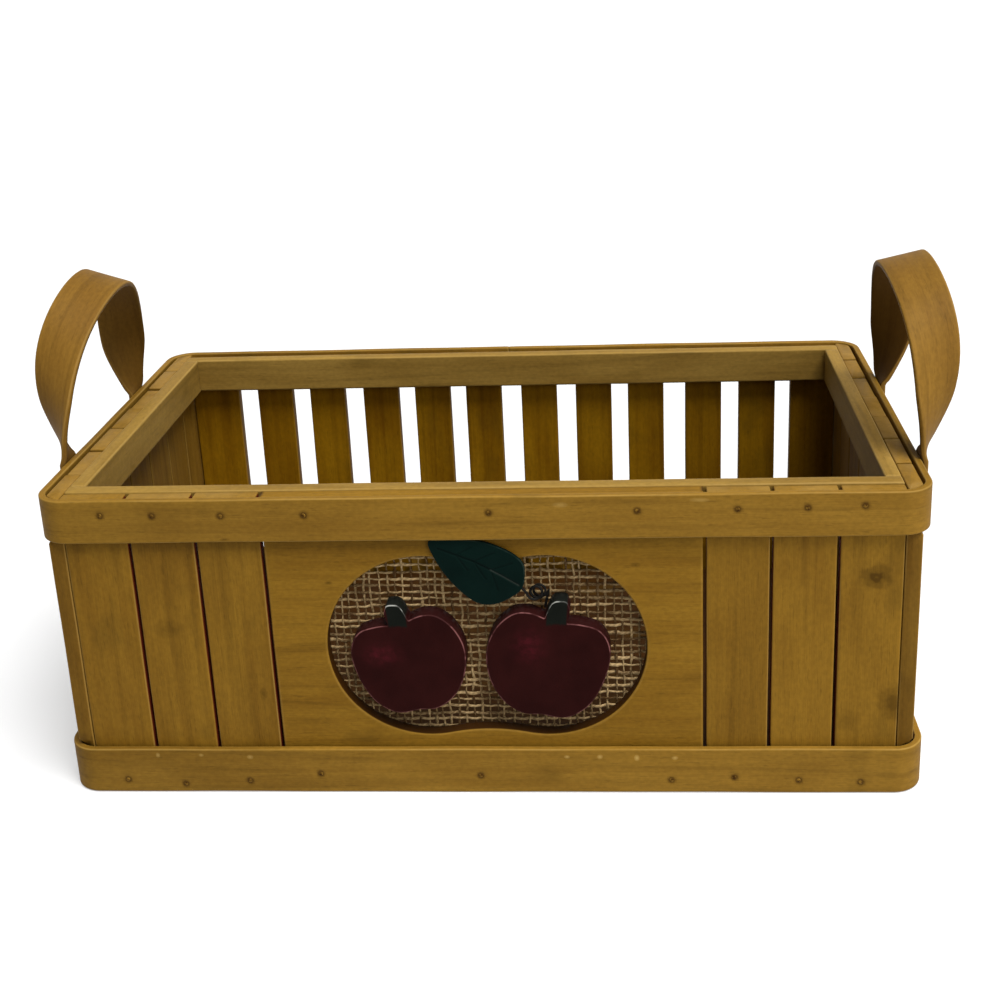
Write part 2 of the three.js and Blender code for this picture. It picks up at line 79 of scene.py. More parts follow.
# %% Quads between the neighbours of a grid
def grid_quads(rows, columns, wrap_rows=False):
    """Corner numbers of each quad of a grid stored row by row: one step on in the row, then one
    row up. The last column joins the first, and so does the last row when rows are wrapped."""
    row = np.arange(rows if wrap_rows else rows - 1)[:, None]
    column = np.arange(columns)[None, :]
    up, on = (row + 1) % rows, (column + 1) % columns
    corners = [row * columns + column, row * columns + on, up * columns + on, up * columns + column]
    return np.stack(np.broadcast_arrays(*corners), axis=-1).reshape(-1, 4)


def end_rings(rows, columns, start=0):
    """The first and the last row of such a grid, to be closed by a face each."""
    ring = start + np.arange(columns)
    return [ring[::-1], ring + (rows - 1) * columns]


def signed_volume(points, quads):
    """A sixth of the sum of a . (b x c) over the triangles, measured from the middle of the
    points, so it is positive when the faces point outwards."""
    a, b, c, d = (points[quads[:, k]] - points.mean(axis=0) for k in range(4))
    return (np.einsum("ij,ij", a, np.cross(b, c)) + np.einsum("ij,ij", a, np.cross(c, d))) / 6


def grid_copies(count, rows, columns, offset=0, backwards=False):
    """Quads and end rings of several such grids whose points follow one another."""
    starts = offset + np.arange(count) * rows * columns
    quads = (grid_quads(rows, columns) + starts[:, None, None]).reshape(-1, 4)
    rings = [ring for start in starts for ring in end_rings(rows, columns, start)]
    return (quads[:, ::-1], [ring[::-1] for ring in rings]) if backwards else (quads, rings)


# %% Distances along a line, and new objects
def run_along(line):
    """Distance along a line from its first point to each of its points."""
    return np.concatenate([[0], np.cumsum(np.linalg.norm(np.diff(line, axis=0), axis=1))])


def points_at(places, run, line):
    """The points of a line at given distances along it."""
    return np.stack([np.interp(places, run, column) for column in line.T], axis=1)


def add_object(name, data):
    item = bpy.data.objects.new(name, data)
    bpy.context.scene.collection.objects.link(item)
    return item


# %% Turn points and faces into a piece
def make_piece(name, points, quads, slot, replaced=(), fields=None, caps=()):
    """A smooth mesh with its faces turned outwards. fields gives a number or a vector for each
    point, and caps are rings of points closed by one face."""
    points = np.asarray(points, float).reshape(-1, 3)
    caps = [np.asarray(cap) for cap in caps]
    if signed_volume(points, quads) < 0:
        quads = quads[:, ::-1]
        caps = [cap[::-1] for cap in caps]
    mesh = bpy.data.meshes.new(name)
    mesh.from_pydata(points.tolist(), [], [*quads.tolist(), *(cap.tolist() for cap in caps)])
    for field, values in (fields or {}).items():
        values = np.asarray(values, np.float32)
        vector = values.ndim > 1 and values.shape[-1] == 3
        layer = mesh.attributes.new(field, "FLOAT_VECTOR" if vector else "FLOAT", "POINT")
        layer.data.foreach_set("vector" if vector else "value", values.ravel())
    mesh.polygons.foreach_set("use_smooth", np.ones(len(mesh.polygons), bool))
    mesh.update()
    piece = add_object(name, mesh)
    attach(piece, "root")
    if replaced:
        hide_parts(*replaced)
    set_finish(piece, slot)
    return piece


# %% The section of a bar
def bar_section(outer_steps, inner_steps=2, round_steps=3, support=0.04):
    """Outline of a rounded bar as two arrays: core is where each point's rounding starts, in
    half sizes from -1 to 1, and direction is the way the rounding radius pushes it out. Points
    beside each rounded edge hold the flat faces flat."""
    core, direction = [], []

    def face(side, steps):
        places = np.concatenate([[-1 + support], np.linspace(-1, 1, steps + 2)[1:-1], [1 - support]])
        core.append(np.stack([side * places, np.full(len(places), side)], axis=1))
        direction.append(np.tile([0.0, side], (len(places), 1)))

    def corner(a, b, start):
        turn = np.radians(start) - np.linspace(0, np.pi / 2, round_steps + 1)
        core.append(np.tile([float(a), float(b)], (round_steps + 1, 1)))
        direction.append(np.stack([np.cos(turn), np.sin(turn)], axis=1))

    face(1, outer_steps)
    corner(1, 1, 90)
    corner(1, -1, 0)
    face(-1, inner_steps)
    corner(-1, -1, -90)
    corner(-1, 1, 180)
    return np.concatenate(core), np.concatenate(direction)


# %% Where the stations of a bar lie, and how far its section draws in at the ends
def rounded_run(length, radius, step):
    """Stations from 0 to length. Near an end the station at angle t of the rounding lies at
    radius * (1 - cos t) and its section draws in by radius * (1 - sin t)."""
    turn = np.radians([12, 35, 60])
    end, drawn = radius * (1 - np.cos(turn)), radius * (1 - np.sin(turn))
    count = max(2, round((length - 2 * radius) / step) + 1)
    middle = np.linspace(radius, length - radius, count)
    places = np.concatenate([end, middle, length - end[::-1]])
    return places, np.concatenate([drawn, np.zeros(count), drawn[::-1]])


def carry(section, radius, half_width, half_thickness, line, across, outward, drawn):
    """Points of a bar: line + across * a + outward * b for each station, where a is the core
    times the half width less the radius, plus the direction times the radius less what is drawn
    in, and b is the same through the thickness."""
    core, direction = section
    half_width = np.broadcast_to(half_width, len(line))[:, None]
    reach = (radius - drawn)[:, None]
    a = core[:, 0] * (half_width - radius) + direction[:, 0] * reach
    b = core[:, 1] * (half_thickness - radius) + direction[:, 1] * reach
    points = line[:, None] + across[:, None] * a[..., None] + outward[:, None] * b[..., None]
    return points, a, b


# %% [markdown]
# Each bar's points remember where they lie in the wood. The field `grain` holds the distance
# along, across and through the board, moved to a random place in the tree, so that no two boards
# share a figure. `edge` is 1 on rounded edges, where stain rubs off. The stain field is 1 where
# stain has pooled or the wood is scorched, and on a strap's underside it holds painted shade.
# `tone` makes one board a little darker than the next.

# %% A bar as a finished piece
def wood_fields(run, a, b, drawn, section, tone, pooled):
    """The four fields. Stain lies on the sawn sides, short of the rounded ends."""
    along = np.broadcast_to(run[:, None], a.shape)
    grain = np.stack([along, a, b], axis=-1) + random.uniform(-4, 4, 3)
    direction = np.abs(section[1])
    edge = np.maximum(direction.min(axis=1) > 0.01, (drawn > 0)[:, None]) * np.ones(a.shape)
    sawn_side = direction[:, 0] > 0.9
    stain = pooled * sawn_side[None, :] * (drawn == 0)[:, None]
    return {"grain": grain.reshape(-1, 3), "edge": edge.ravel(), "stain": stain.ravel(),
            "tone": np.full(a.size, tone)}


def bar_piece(name, slot, replaced, section, radius, width, thickness, frames, run, drawn, tone=None,
              pooled=0.0, reshape=None):
    """frames gives the line and the directions across and outward at each station. reshape is a
    last change of the points, which may change the fields too."""
    points, a, b = carry(section, radius, width / 2, thickness / 2, *frames, drawn)
    tone = random.uniform(-1, 1) if tone is None else tone
    fields = wood_fields(run, a, b, drawn, section, tone, pooled)
    points = points.reshape(-1, 3)
    if reshape:
        points = reshape(points, fields)
    return make_piece(name, points, grid_quads(*a.shape), slot, replaced, fields, end_rings(*a.shape))


# %% [markdown]
# ## Laths, rails and the bottom board
#
# Laths are sawn boards with lightly eased edges. A true board is never quite flat: it cups a
# little across its width and its faces wander by a tenth of a millimetre, which is what breaks
# up the light on it.

# %% A straight board that fills the box of its solid
X, Y, Z = np.eye(3)


def wander(points, fields, amount=0.1 * mm):
    """Moves each point by two slow sine waves of its place in the wood."""
    along, across = fields["grain"][:, :2].T
    wave = np.sin(95 * along + 60 * across) + np.sin(41 * along - 170 * across)
    return points + 0.5 * amount * wave[:, None] * np.array([0.5, 1, 0.3])


def board_from_box(name, node, slot, along, outward, easing=0.7 * mm, steps=8, short=0.0, **rest):
    """A rounded bar from one end of a solid's box to the other, less what it is short at its
    high end. Its width lies square to along and to outward."""
    low, high = np.array(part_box(node))
    high = high - short * along
    across = np.cross(outward, along)
    size = high - low
    length, width, thickness = (abs(size @ axis) for axis in (along, across, outward))
    start = (low + high) / 2 - along * length / 2
    run, drawn = rounded_run(length, easing, 4 * mm)
    repeated = [np.tile(axis, (len(run), 1)) for axis in (across, outward)]
    frames = (start + along * run[:, None], *repeated)
    return bar_piece(name, slot, [node], bar_section(steps), easing, width, thickness, frames, run,
                     drawn, **rest)


# %% Sizes of the body and the bands
half_length, half_depth, rim = 190 * mm, 104.5 * mm, 143 * mm
band_thickness, band_corner = 3 * mm, 13.5 * mm
foot_spread = 1 * mm
foot_band_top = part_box("bottom_outer_band")[1][2]
top_band_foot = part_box("top_outer_band")[0][2]


def shave(points, fields):
    """A corner lath is shaved round where a band bends over it: there each point keeps within
    the band's inner radius, less a hair, of the middle of the bend."""
    points = wander(points, fields)
    bend = np.array([half_length - band_corner, half_depth - band_corner])
    side = np.sign(points[:, :2])
    offset = points[:, :2] - side * bend
    distance = np.linalg.norm(offset, axis=1)
    room = band_corner - band_thickness - 0.3 * mm
    height = points[:, 2]
    behind_band = (height < foot_band_top) | (height > top_band_foot)
    beyond = (offset * side > 0).all(axis=1) & behind_band & (distance > room)
    drawn = np.where(beyond, room / np.maximum(distance, room), 1)
    points[:, :2] = side * bend + offset * drawn[:, None]
    return points


# %% Laths of the four walls
walls = {"front": -Y, "back": Y, "left": -X, "right": X}
counts = {"front": 6, "back": 12, "left": 7, "right": 7}
finishes = {
    "front": ("front_wood", 0.95, 0.3 * mm), "back": ("back_wood", 0.5, 0.3 * mm),
    "left": ("side_wood", 0.3, 1.1 * mm), "right": ("side_wood", 0.3, 1.1 * mm),
}
laths = {}
for wall, outward in walls.items():
    slot, pooled, uneven = finishes[wall]
    for i in range(1, counts[wall] + 1):
        node = f"{wall}_slat_{i}"
        corner = wall in ("left", "right") and i in (1, counts[wall])
        laths[node] = board_from_box(
            f"{wall}_lath_{i}", node, slot, Z, outward, steps=24 if corner else 8,
            short=random.uniform(0, uneven), pooled=pooled, reshape=shave if corner else wander)
print(len(laths), "laths")

# %% Rails round the inside of the rim, and the bottom board
for wall, outward in walls.items():
    along = X if wall in ("front", "back") else Y
    node = f"{wall}_rim_strip"
    board_from_box(f"{wall}_rail", node, "inside_wood", along, outward, easing=0.9 * mm, steps=6,
                   reshape=wander)
floor_board = board_from_box("floor_board", "bottom_board", "inside_wood", X, -Z, steps=20)
print(len(walls), "rails")

# %% [markdown]
# ## The bands
#
# Each band is thin veneer soaked, bent round four corners and nailed, with its two ends meeting
# in the middle of the back. The path below walks the rounded rectangle once, so the grain runs
# on round the bends as it does in veneer.

# %% A walk round a rounded rectangle
def round_the_basket(half_x, half_y, radius, step):
    """Places and outward directions along the outline, from the middle of the back by the left
    end, the front and the right end to the middle of the back again."""
    inner_x, inner_y = half_x - radius, half_y - radius
    walk = [
        ((0, half_y), (-inner_x, half_y), (0, 1)), ((-half_x, inner_y), (-half_x, -inner_y), (-1, 0)),
        ((-inner_x, -half_y), (inner_x, -half_y), (0, -1)), ((half_x, -inner_y), (half_x, inner_y), (1, 0)),
        ((inner_x, half_y), (0, half_y), (0, 1)),
    ]
    bend_count = max(6, round(radius * np.pi / 2 / step))
    places, facing = [], []
    for start, end, direction in walk:
        start, end, direction = (np.array(pair, float) for pair in (start, end, direction))
        count = max(2, round(np.linalg.norm(end - start) / step))
        share = np.linspace(0, 1, count, endpoint=False)[:, None]
        places.append(start * (1 - share) + end * share)
        facing.append(np.tile(direction, (count, 1)))
        # the last stretch ends in the middle of the back, where no bend follows
        if end[0] == 0:
            break
        turn = np.arctan2(*direction[::-1]) + np.radians(np.linspace(0, 90, bend_count, endpoint=False))
        bend = np.stack([np.cos(turn), np.sin(turn)], axis=1)
        places.append(end + radius * (bend - direction))
        facing.append(bend)
    return np.vstack([*places, end]), np.vstack([*facing, direction])


# %% Where the brads of each band go
def lath_middles(wall, axis):
    boxes = np.array([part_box(f"{wall}_slat_{i}") for i in range(1, counts[wall] + 1)])
    return boxes[:, :, axis].mean(axis=1)


def band_brads(front, half_x, half_y, other_height):
    """Places and outward directions of the brads: the front ones as given in x and z, and one
    near the middle of each lath of the other walls."""
    spots = [((x, -half_y, z), -Y) for x, z in np.array(front) * mm]
    for wall, outward in walls.items():
        axis = 0 if wall == "back" else 1
        for place in lath_middles(wall, axis) if wall != "front" else ():
            place += random.uniform(-3, 3) * mm
            z = other_height + random.uniform(-1.5, 1.5) * mm
            spots.append(((place, half_y, z) if axis == 0 else (outward[0] * half_x, place, z), outward))
    return np.array([spot for spot, _ in spots]), np.array([out for _, out in spots])


top_front = [
    (-159.9, 136), (-137.5, 135.6), (-108, 135.3), (-72.4, 135.2), (5.7, 135.4), (67.5, 135.6),
    (108.8, 135.8), (137.4, 136.2), (160.7, 136.8),
]
foot_front = [
    (-163.8, 6.4), (-137.4, 4.2), (-107.8, 5.9), (-75.3, 9.5), (-3.5, 8.6), (80.9, 6.4),
    (108.3, 7.8), (136.3, 6.3), (163.1, 5.5),
]
top_brads = band_brads(top_front, half_length, half_depth, rim - 7.5 * mm)
foot_brads = band_brads(
    foot_front, half_length + foot_spread, half_depth + foot_spread / 2, 7 * mm)
print(len(top_brads[0]) + len(foot_brads[0]), "brads in the bands")


# %% Dimples and stains round brads
def dimple(points, fields, spots, outward, depth=0.3 * mm, width=1.7 * mm, spread=1.75 * mm):
    """Presses the wood in by depth * exp(-(d / width)^2) at distance d from a brad, and stains
    it by 0.95 * exp(-(d / spread)^4)."""
    gap = points[:, None] - spots[None]
    distance = np.linalg.norm(gap, axis=2)
    pressed = np.exp(-((distance / width) ** 2))
    points = points - depth * pressed @ outward
    fields["stain"] = 0.95 * np.minimum(1, np.exp(-((distance / spread) ** 4)).sum(axis=1))
    return points


# %% Bend the two bands
band_section = bar_section(20, 2)


def bent_band(name, node, spread, brads, joint=0.01 * mm, easing=0.7 * mm, narrower=0.25 * mm):
    low, high = np.array(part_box(node))
    inset = band_thickness / 2
    places, facing = round_the_basket(
        half_length + spread - inset, half_depth + spread / 2 - inset, band_corner - inset, 1 * mm)
    run = run_along(places)
    line = np.column_stack([places, np.full(len(places), (low[2] + high[2]) / 2)])
    line[0, 0] -= joint
    line[-1, 0] += joint
    frames = (line, np.tile(Z, (len(run), 1)), np.column_stack([facing, np.zeros(len(facing))]))
    uneven = 0.12 * mm * (np.sin(run * 37) + np.sin(run * 88 + 2))
    drawn = np.zeros(len(run))
    drawn[[0, -1]] = easing / 4
    return bar_piece(
        name, "band_wood", [node], band_section, easing, high[2] - low[2] - narrower + uneven,
        band_thickness, frames, run, drawn, tone=0.0,
        reshape=lambda points, fields: dimple(points, fields, *brads))


top_band = bent_band("top_band", "top_outer_band", 0, top_brads)
foot_band = bent_band("foot_band", "bottom_outer_band", foot_spread, foot_brads)
print("bands of", len(top_band.data.vertices), "and", len(foot_band.data.vertices), "points")

# %% [markdown]
# ## The handles
#
# A handle is a strap of the same veneer. Each leg lies flat on the end wall, and the strap turns
# a quarter turn as it rises, so that at the top of the arch it lies flat to the hand. The height
# of the arch follows a power of half a sine wave.

# %% The line and the frames of a strap
strap_thickness, leg_width, arch_width = 2.8 * mm, 15 * mm, 22.2 * mm
strap_wall = half_length + 0.3 * mm + strap_thickness / 2
lath_pitch = lath_middles("right", 1)[1] - lath_middles("right", 1)[0]


def arch(handle, t):
    """x = wall + lean * s^2.5 + 4 * bulge * s * (1 - s), y = middle - half span * cos(pi t) and
    z = rim + rise * s, where s = sin(pi t)^fullness."""
    share = np.clip(np.sin(np.pi * t), 0, 1) ** handle["fullness"]
    x = strap_wall + handle["lean"] * share**2.5 + 4 * handle["bulge"] * share * (1 - share)
    y = handle["middle"] - handle["half_span"] * np.cos(np.pi * t)
    return np.stack([x, y, rim + handle["rise"] * share], axis=1), share


def unit(vectors):
    return vectors / np.linalg.norm(vectors, axis=1, keepdims=True)


def strap_frames(handle, leg_length=18.5 * mm, step=1.5 * mm):
    """Stations evenly spaced along the strap, legs included. The width turns from along the wall
    to across it by a quarter turn times the square root of s."""
    t = (1 - np.cos(np.linspace(0, np.pi, 4001))) / 2
    curve, share = arch(handle, t)
    run = run_along(curve)
    total = run[-1] + 2 * leg_length
    places, drawn = rounded_run(total, 0.8 * mm, step)
    on_arch = np.clip(places - leg_length, 0, run[-1])
    line = points_at(on_arch, run, curve)
    line[:, 2] -= np.clip(leg_length - places, 0, None) + np.clip(places - leg_length - run[-1], 0, None)
    share = np.interp(on_arch, run, share)
    along = unit(np.gradient(line, places, axis=0))
    leg_side = np.where(places < total / 2, 1.0, -1.0)
    turn = np.pi / 2 * share**0.5
    across = np.stack([
        np.sin(turn) * np.cos(handle["tilt"]),
        leg_side * np.cos(turn),
        np.sin(turn) * np.sin(handle["tilt"]),
    ], axis=1)
    across = unit(across - along * np.einsum("ij,ij->i", across, along)[:, None])
    spread = np.clip(share / 0.4, 0, 1)
    width = leg_width + (arch_width - leg_width) * spread**2 * (3 - 2 * spread)
    return places, drawn, line, across, np.cross(across, along), width


# %% Bend the two handles
legs = {"left": [(-2, 4.1), (1, 12.7)], "right": [(-2, -5.1), (1, 8)]}
strap_section = bar_section(12, 12)


def leg_places(side, share=1.0):
    """Where the two legs stand along the wall: so many laths from its middle, plus a share of
    the leg's own drift in millimetres."""
    return [lath * lath_pitch + share * drift * mm for lath, drift in legs[side]]


def strap_brads(side, sign):
    """Places and outward directions of the two brads, which sit nearer the laths' middles."""
    face = sign * (strap_wall + strap_thickness / 2)
    places = [(face, y, rim - 10 * mm) for y in leg_places(side, 0.65)]
    return np.array(places), np.tile([sign, 0.0, 0.0], (2, 1))


def bent_handle(side, sign, rise, fullness, bulge, lean, tilt, underside_painted_shade):
    front, back = leg_places(side)
    run, drawn, line, across, outward, width = strap_frames({
        "middle": (front + back) / 2, "half_span": (back - front) / 2, "rise": rise * mm,
        "fullness": fullness, "bulge": bulge * mm, "lean": lean * mm, "tilt": tilt})
    mirror = np.array([sign, 1, 1])

    def reshape(points, fields):
        points = dimple(points, fields, *strap_brads(side, sign))
        # The strap's underside is darkened through the stain field towards the wood's pooled colour:
        # painted shade, stronger on the right strap than on the left.
        shaded_underside = np.tile(strap_section[1][:, 1] < -0.5, len(run))
        fields["stain"] = np.maximum(fields["stain"], underside_painted_shade * shaded_underside)
        return points

    return bar_piece(
        f"{side}_strap", "handle_wood", [f"{side}_handle"], strap_section, 1 * mm, width,
        strap_thickness, (line * mirror, across * mirror, outward * mirror), run, drawn, tone=0.0,
        reshape=reshape)


# The last number is the painted shade on each strap's underside.
left_strap = bent_handle("left", -1.0, 70.8, 0.67, 3.2, -7, 0.32, underside_painted_shade=0.45)
right_strap = bent_handle("right", 1.0, 72.9, 0.52, 4.6, -0.3, 0.23, underside_painted_shade=0.75)
print("straps of", len(left_strap.data.vertices), "and", len(right_strap.data.vertices), "points")

# %% [markdown]
# ## The front panel and its opening
#
# The opening is two overlapping circles whose waists are filled in by shallow curves. The panel
# is one board with a hole, so its grid runs round and round: each column is a line from the edge
# of the opening to the edge of the board, over the front, round the edge and back along the rear.

# %% The outline of the opening
opening_x, opening_z = 1.5 * mm, 70.7 * mm
lobe_radius, lobe_half_spacing = 43.3 * mm, 26.1 * mm
waist = math.radians(12)


def opening_radius(angle):
    """Distance from the middle of the opening to its edge. The outline is sampled as two arcs
    that run a little past their tops, joined by two quadratic curves, and looked up by angle."""
    arc = np.linspace(-np.pi / 2 - waist, np.pi / 2 + waist, 400)
    right = np.stack([
        lobe_half_spacing + lobe_radius * np.cos(arc), lobe_radius * np.sin(arc)], axis=1)
    start = right[-1]
    dip = np.array([0, start[1] - start[0] * math.tan(waist)])
    t = np.linspace(0, 1, 200)[:, None]
    top = start * (1 - t) ** 2 + 2 * dip * t * (1 - t) + start * np.array([-1, 1]) * t**2
    half = np.concatenate([right, top[1:]])
    outline = np.concatenate([half, -half])
    place = np.arctan2(outline[:, 1], outline[:, 0])
    order = np.argsort(place)
    return np.interp(angle, place[order], np.linalg.norm(outline, axis=1)[order], period=2 * np.pi)


# %% The panel as a grid that turns round the hole
def panel_piece():
    """The rows go from the edge of the opening over the front to the rim and back behind."""
    low, high = np.array(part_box("front_panel"))
    front, back = low[1], high[1]
    centre = np.array([opening_x, opening_z])
    half = (high - low)[[0, 2]] / 2
    middle = (high + low)[[0, 2]] / 2 - centre
    corners = middle + half * [(1, -1), (1, 1), (-1, 1), (-1, -1), (1, -1)]
    rim_points = np.concatenate([
        a + (b - a) * np.linspace(0, 1, count, endpoint=False)[:, None]
        for a, b, count in zip(corners, corners[1:], (90, 120, 90, 120))])
    beside_lath = np.abs(rim_points[:, 0] - middle[0]) > half[0] - 1e-6
    angle = np.arctan2(rim_points[:, 1], rim_points[:, 0])
    ray = np.stack([np.cos(angle), np.sin(angle)], axis=1)
    hole = ray * opening_radius(angle)[:, None]
    turn = np.linspace(0, np.pi / 2, 5)
    easing = 0.8 * mm
    rows, edges, stains = [], [], []

    def row(share, outer_inset, hole_inset, y, edge=0.0, stain=0.0, between=0.0):
        """A ring of points, share of the way from the hole to the rim. between is the stain on
        the sides that face a lath."""
        outer = middle + (rim_points - middle) * (1 - outer_inset / half)
        inner = hole + ray * hole_inset
        flat = centre + inner * (1 - share) + outer * share
        rows.append(np.column_stack([flat[:, 0], np.full(len(flat), y), flat[:, 1]]))
        edges.append(np.full(len(flat), edge))
        stains.append(stain + between * beside_lath)

    def rounded(a):
        return easing * (1 - np.cos(a)), front + easing * (1 - np.sin(a))

    for a, edge, stain in zip(turn, (0, 0, 0.4, 0.4, 0.4), (1, 0.8, 0, 0, 0)):
        row(0, 0, *rounded(a), edge, stain)
    for share in np.concatenate([[0.015], np.linspace(0.05, 0.95, 24), [0.985]]):
        row(share, easing, easing, front)
    for a, edge, between in zip(turn[::-1], (0.6, 0.6, 0.6, 0.6, 0), (0, 0, 0, 0.5, 0.95)):
        inset, y = rounded(a)
        row(1, inset, 0, y, edge, between=between)
    row(1, 0, 0, back - easing, between=0.95)
    for share in (1, 0.9, 0.5, 0.1):
        row(share, 0, 0, back)
    for y in (back, back - easing):
        row(0, 0, 0, y, stain=1)
    points = np.concatenate(rows)
    fields = {
        "grain": points[:, [0, 2, 1]] + random.uniform(-4, 4, 3), "edge": np.concatenate(edges),
        "tone": np.zeros(len(points)), "stain": np.concatenate(stains)}
    quads = grid_quads(len(rows), len(rim_points), wrap_rows=True)
    return make_piece("panel_board", wander(points, fields), quads, "front_wood", ["front_panel"], fields)


panel_board = panel_piece()
print("panel of", len(panel_board.data.vertices), "points")

# %% [markdown]
# ## Burlap
#
# Burlap is a plain weave of jute: each yarn goes over one crossing yarn and under the next. The
# gaps are wider than the yarns, so a flat picture of it would not do. Every yarn here is a thin
# flattened tube. A horizontal yarn's height over the cloth is the cosine of pi times the number
# of upright yarns it has passed, and the upright yarns use the opposite sign.

# %% Weave the cloth
def slow_noise(rows, count, knots, amount):
    """Rows of smooth random numbers: random values at knots, joined by a cosine blend."""
    values = random.normal(0, amount, (rows, knots + 1))
    place = np.linspace(0, knots, count)
    low = np.minimum(place.astype(int), knots - 1)
    blend = (1 - np.cos(np.pi * (place - low))) / 2
    return values[:, low] * (1 - blend) + values[:, low + 1] * blend


def yarns(own, crossed, lift, wide, deep, sides=5, steps=4):
    """Tubes of one set of yarns, as arrays of yarn, step and side: how far along, sideways and
    outward, and the place in the thread. own and crossed are the places of the two sets."""
    count = (len(crossed) - 1) * steps + 1
    passed = np.linspace(0, len(crossed) - 1, count)
    parity = (-1.0) ** np.arange(len(own))[:, None]
    height = lift * parity * np.cos(np.pi * passed)
    drift = own[:, None] + slow_noise(len(own), count, 20, 0.24 * mm)
    fat = 1 + slow_noise(len(own), count, 22, 0.2)
    turn = np.linspace(0, 2 * np.pi, sides, endpoint=False)
    sideways = drift[..., None] + wide * fat[..., None] * np.cos(turn)
    outward = height[..., None] + deep * fat[..., None] * np.sin(turn)
    along = np.interp(passed, np.arange(len(crossed)), crossed)
    forward = np.broadcast_to(along[None, :, None], sideways.shape)
    twist = random.uniform(-2, 2, (len(own), 1, 1))
    return forward, sideways, outward, np.stack(np.broadcast_arrays(forward, turn * wide, twist), -1)


def weave():
    """Both sets of yarns as one piece. The table gives a set's places and those it crosses, how
    far it swings, half its width and thickness, its tone, and whether it stands upright."""
    low, high = np.array(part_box("burlap"))
    middle = (low[1] + high[1]) / 2
    margin = 1 * mm

    def places(axis, pitch, uneven):
        even = np.arange(low[axis] + margin, high[axis] - margin, pitch)
        return even + random.normal(0, uneven, len(even))

    weft, warp = places(2, 3.3 * mm, 0.2 * mm), places(0, 3.5 * mm, 0.25 * mm)
    points, quads, threads, tones, caps = [], [], [], [], []
    for own, crossed, lift, wide, deep, tone, upright in (
        (weft, warp, 0.32 * mm, 0.66 * mm, 0.38 * mm, 0.4, False),
        (warp, weft, -0.32 * mm, 0.52 * mm, 0.34 * mm, -0.2, True),
    ):
        forward, sideways, outward, thread = yarns(own, crossed, lift, wide, deep)
        place = [forward, middle - outward, sideways]
        block = np.stack(place[::-1] if upright else place, axis=-1)
        n_yarns, n_steps, n_sides = block.shape[:3]
        more_quads, more_caps = grid_copies(
            n_yarns, n_steps, n_sides, sum(len(part) for part in points), backwards=upright)
        quads.append(more_quads)
        caps += more_caps
        points.append(block.reshape(-1, 3))
        threads.append(thread.reshape(-1, 3))
        shade = tone + slow_noise(n_yarns, n_steps, 18, 0.5) + random.normal(0, 0.3, (n_yarns, 1))
        tones.append(np.repeat(shade.ravel(), n_sides))
    fields = {"thread": np.concatenate(threads), "tone": np.concatenate(tones)}
    cloth = make_piece(
        "burlap_weave", np.concatenate(points), np.concatenate(quads), "burlap", ["burlap"], fields, caps)
    print(len(weft), "by", len(warp), "yarns")


weave()

# %% [markdown]
# ## Apples and leaf
#
# The ornaments are sawn from board with a fretsaw, their edges broken with sandpaper after
# painting. Both shapes can be seen whole from a point inside them, so the outline is carried
# from the middle of the back out to the edge, round it, and in again to the middle of the front.

# %% A smooth outline through a few points
def smooth_outline(knots, closed=True, per_span=14):
    """Catmull-Rom curve: between b and c, with neighbours a and d, it is half of
    2b + (c - a) t + (2a - 5b + 4c - d) t^2 + (3b - 3c + d - a) t^3."""
    knots = np.asarray(knots, float)
    b = knots if closed else knots[:-1]
    if closed:
        a, c, d = np.roll(knots, 1, 0), np.roll(knots, -1, 0), np.roll(knots, -2, 0)
    else:
        c = knots[1:]
        a, d = np.vstack([knots[:1], knots[:-2]]), np.vstack([knots[2:], knots[-1:]])
    t = np.linspace(0, 1, per_span, endpoint=False)[None, :, None]
    a, b, c, d = (array[:, None] for array in (a, b, c, d))
    curve = (2 * b + (c - a) * t + (2 * a - 5 * b + 4 * c - d) * t**2 + (3 * b - 3 * c + d - a) * t**3) / 2
    return curve.reshape(-1, 2)


def even_steps(outline, count):
    """The same closed outline with its points evenly spaced, starting at the same place."""
    loop = np.vstack([outline, outline[:1]])
    run = run_along(loop)
    return points_at(np.linspace(0, run[-1], count, endpoint=False), run, loop)


def soften(outline, times):
    """Rounds sharp corners by averaging each point with its neighbours."""
    for _ in range(times):
        outline = (np.roll(outline, 1, 0) + 2 * outline + np.roll(outline, -1, 0)) / 4
    return outline


# %% A sawn shape with a rounded front edge
def sawn_shape(outline, middle, front, back, radius, rings, crown=0.0):
    """Rows of points from the middle of the back round the edge to the middle of the front. The
    front face rises by crown * (1 - r^2), where r goes from 0 in the middle to 1 at the edge."""
    arm = outline - middle
    reach = np.linalg.norm(arm, axis=1, keepdims=True)
    turn = np.linspace(0, np.pi / 2, 6)
    rows = []

    def row(inset, y, share=1.0):
        flat = middle + arm * (1 - inset / reach) * share
        rows.append(np.column_stack([flat[:, 0], np.broadcast_to(y, len(flat)), flat[:, 1]]))

    row(0, back, 0.05)
    row(0.3 * mm, back)
    row(0, back - 0.3 * mm)
    row(0, (front + radius + back) / 2)
    for a in turn:
        row(radius * (1 - np.cos(a)), front + radius * (1 - np.sin(a)))
    for share in np.concatenate([[0.99], np.linspace(0.97, 0.05, rings)]):
        row(radius, front - crown * (1 - share**2), share)
    points = np.concatenate(rows)
    count, columns = len(rows), len(outline)
    edge = np.zeros((count, columns))
    first_rounded = 4
    edge[first_rounded + 2:first_rounded + 5] = 1
    return points, grid_quads(count, columns), end_rings(count, columns), edge.ravel()


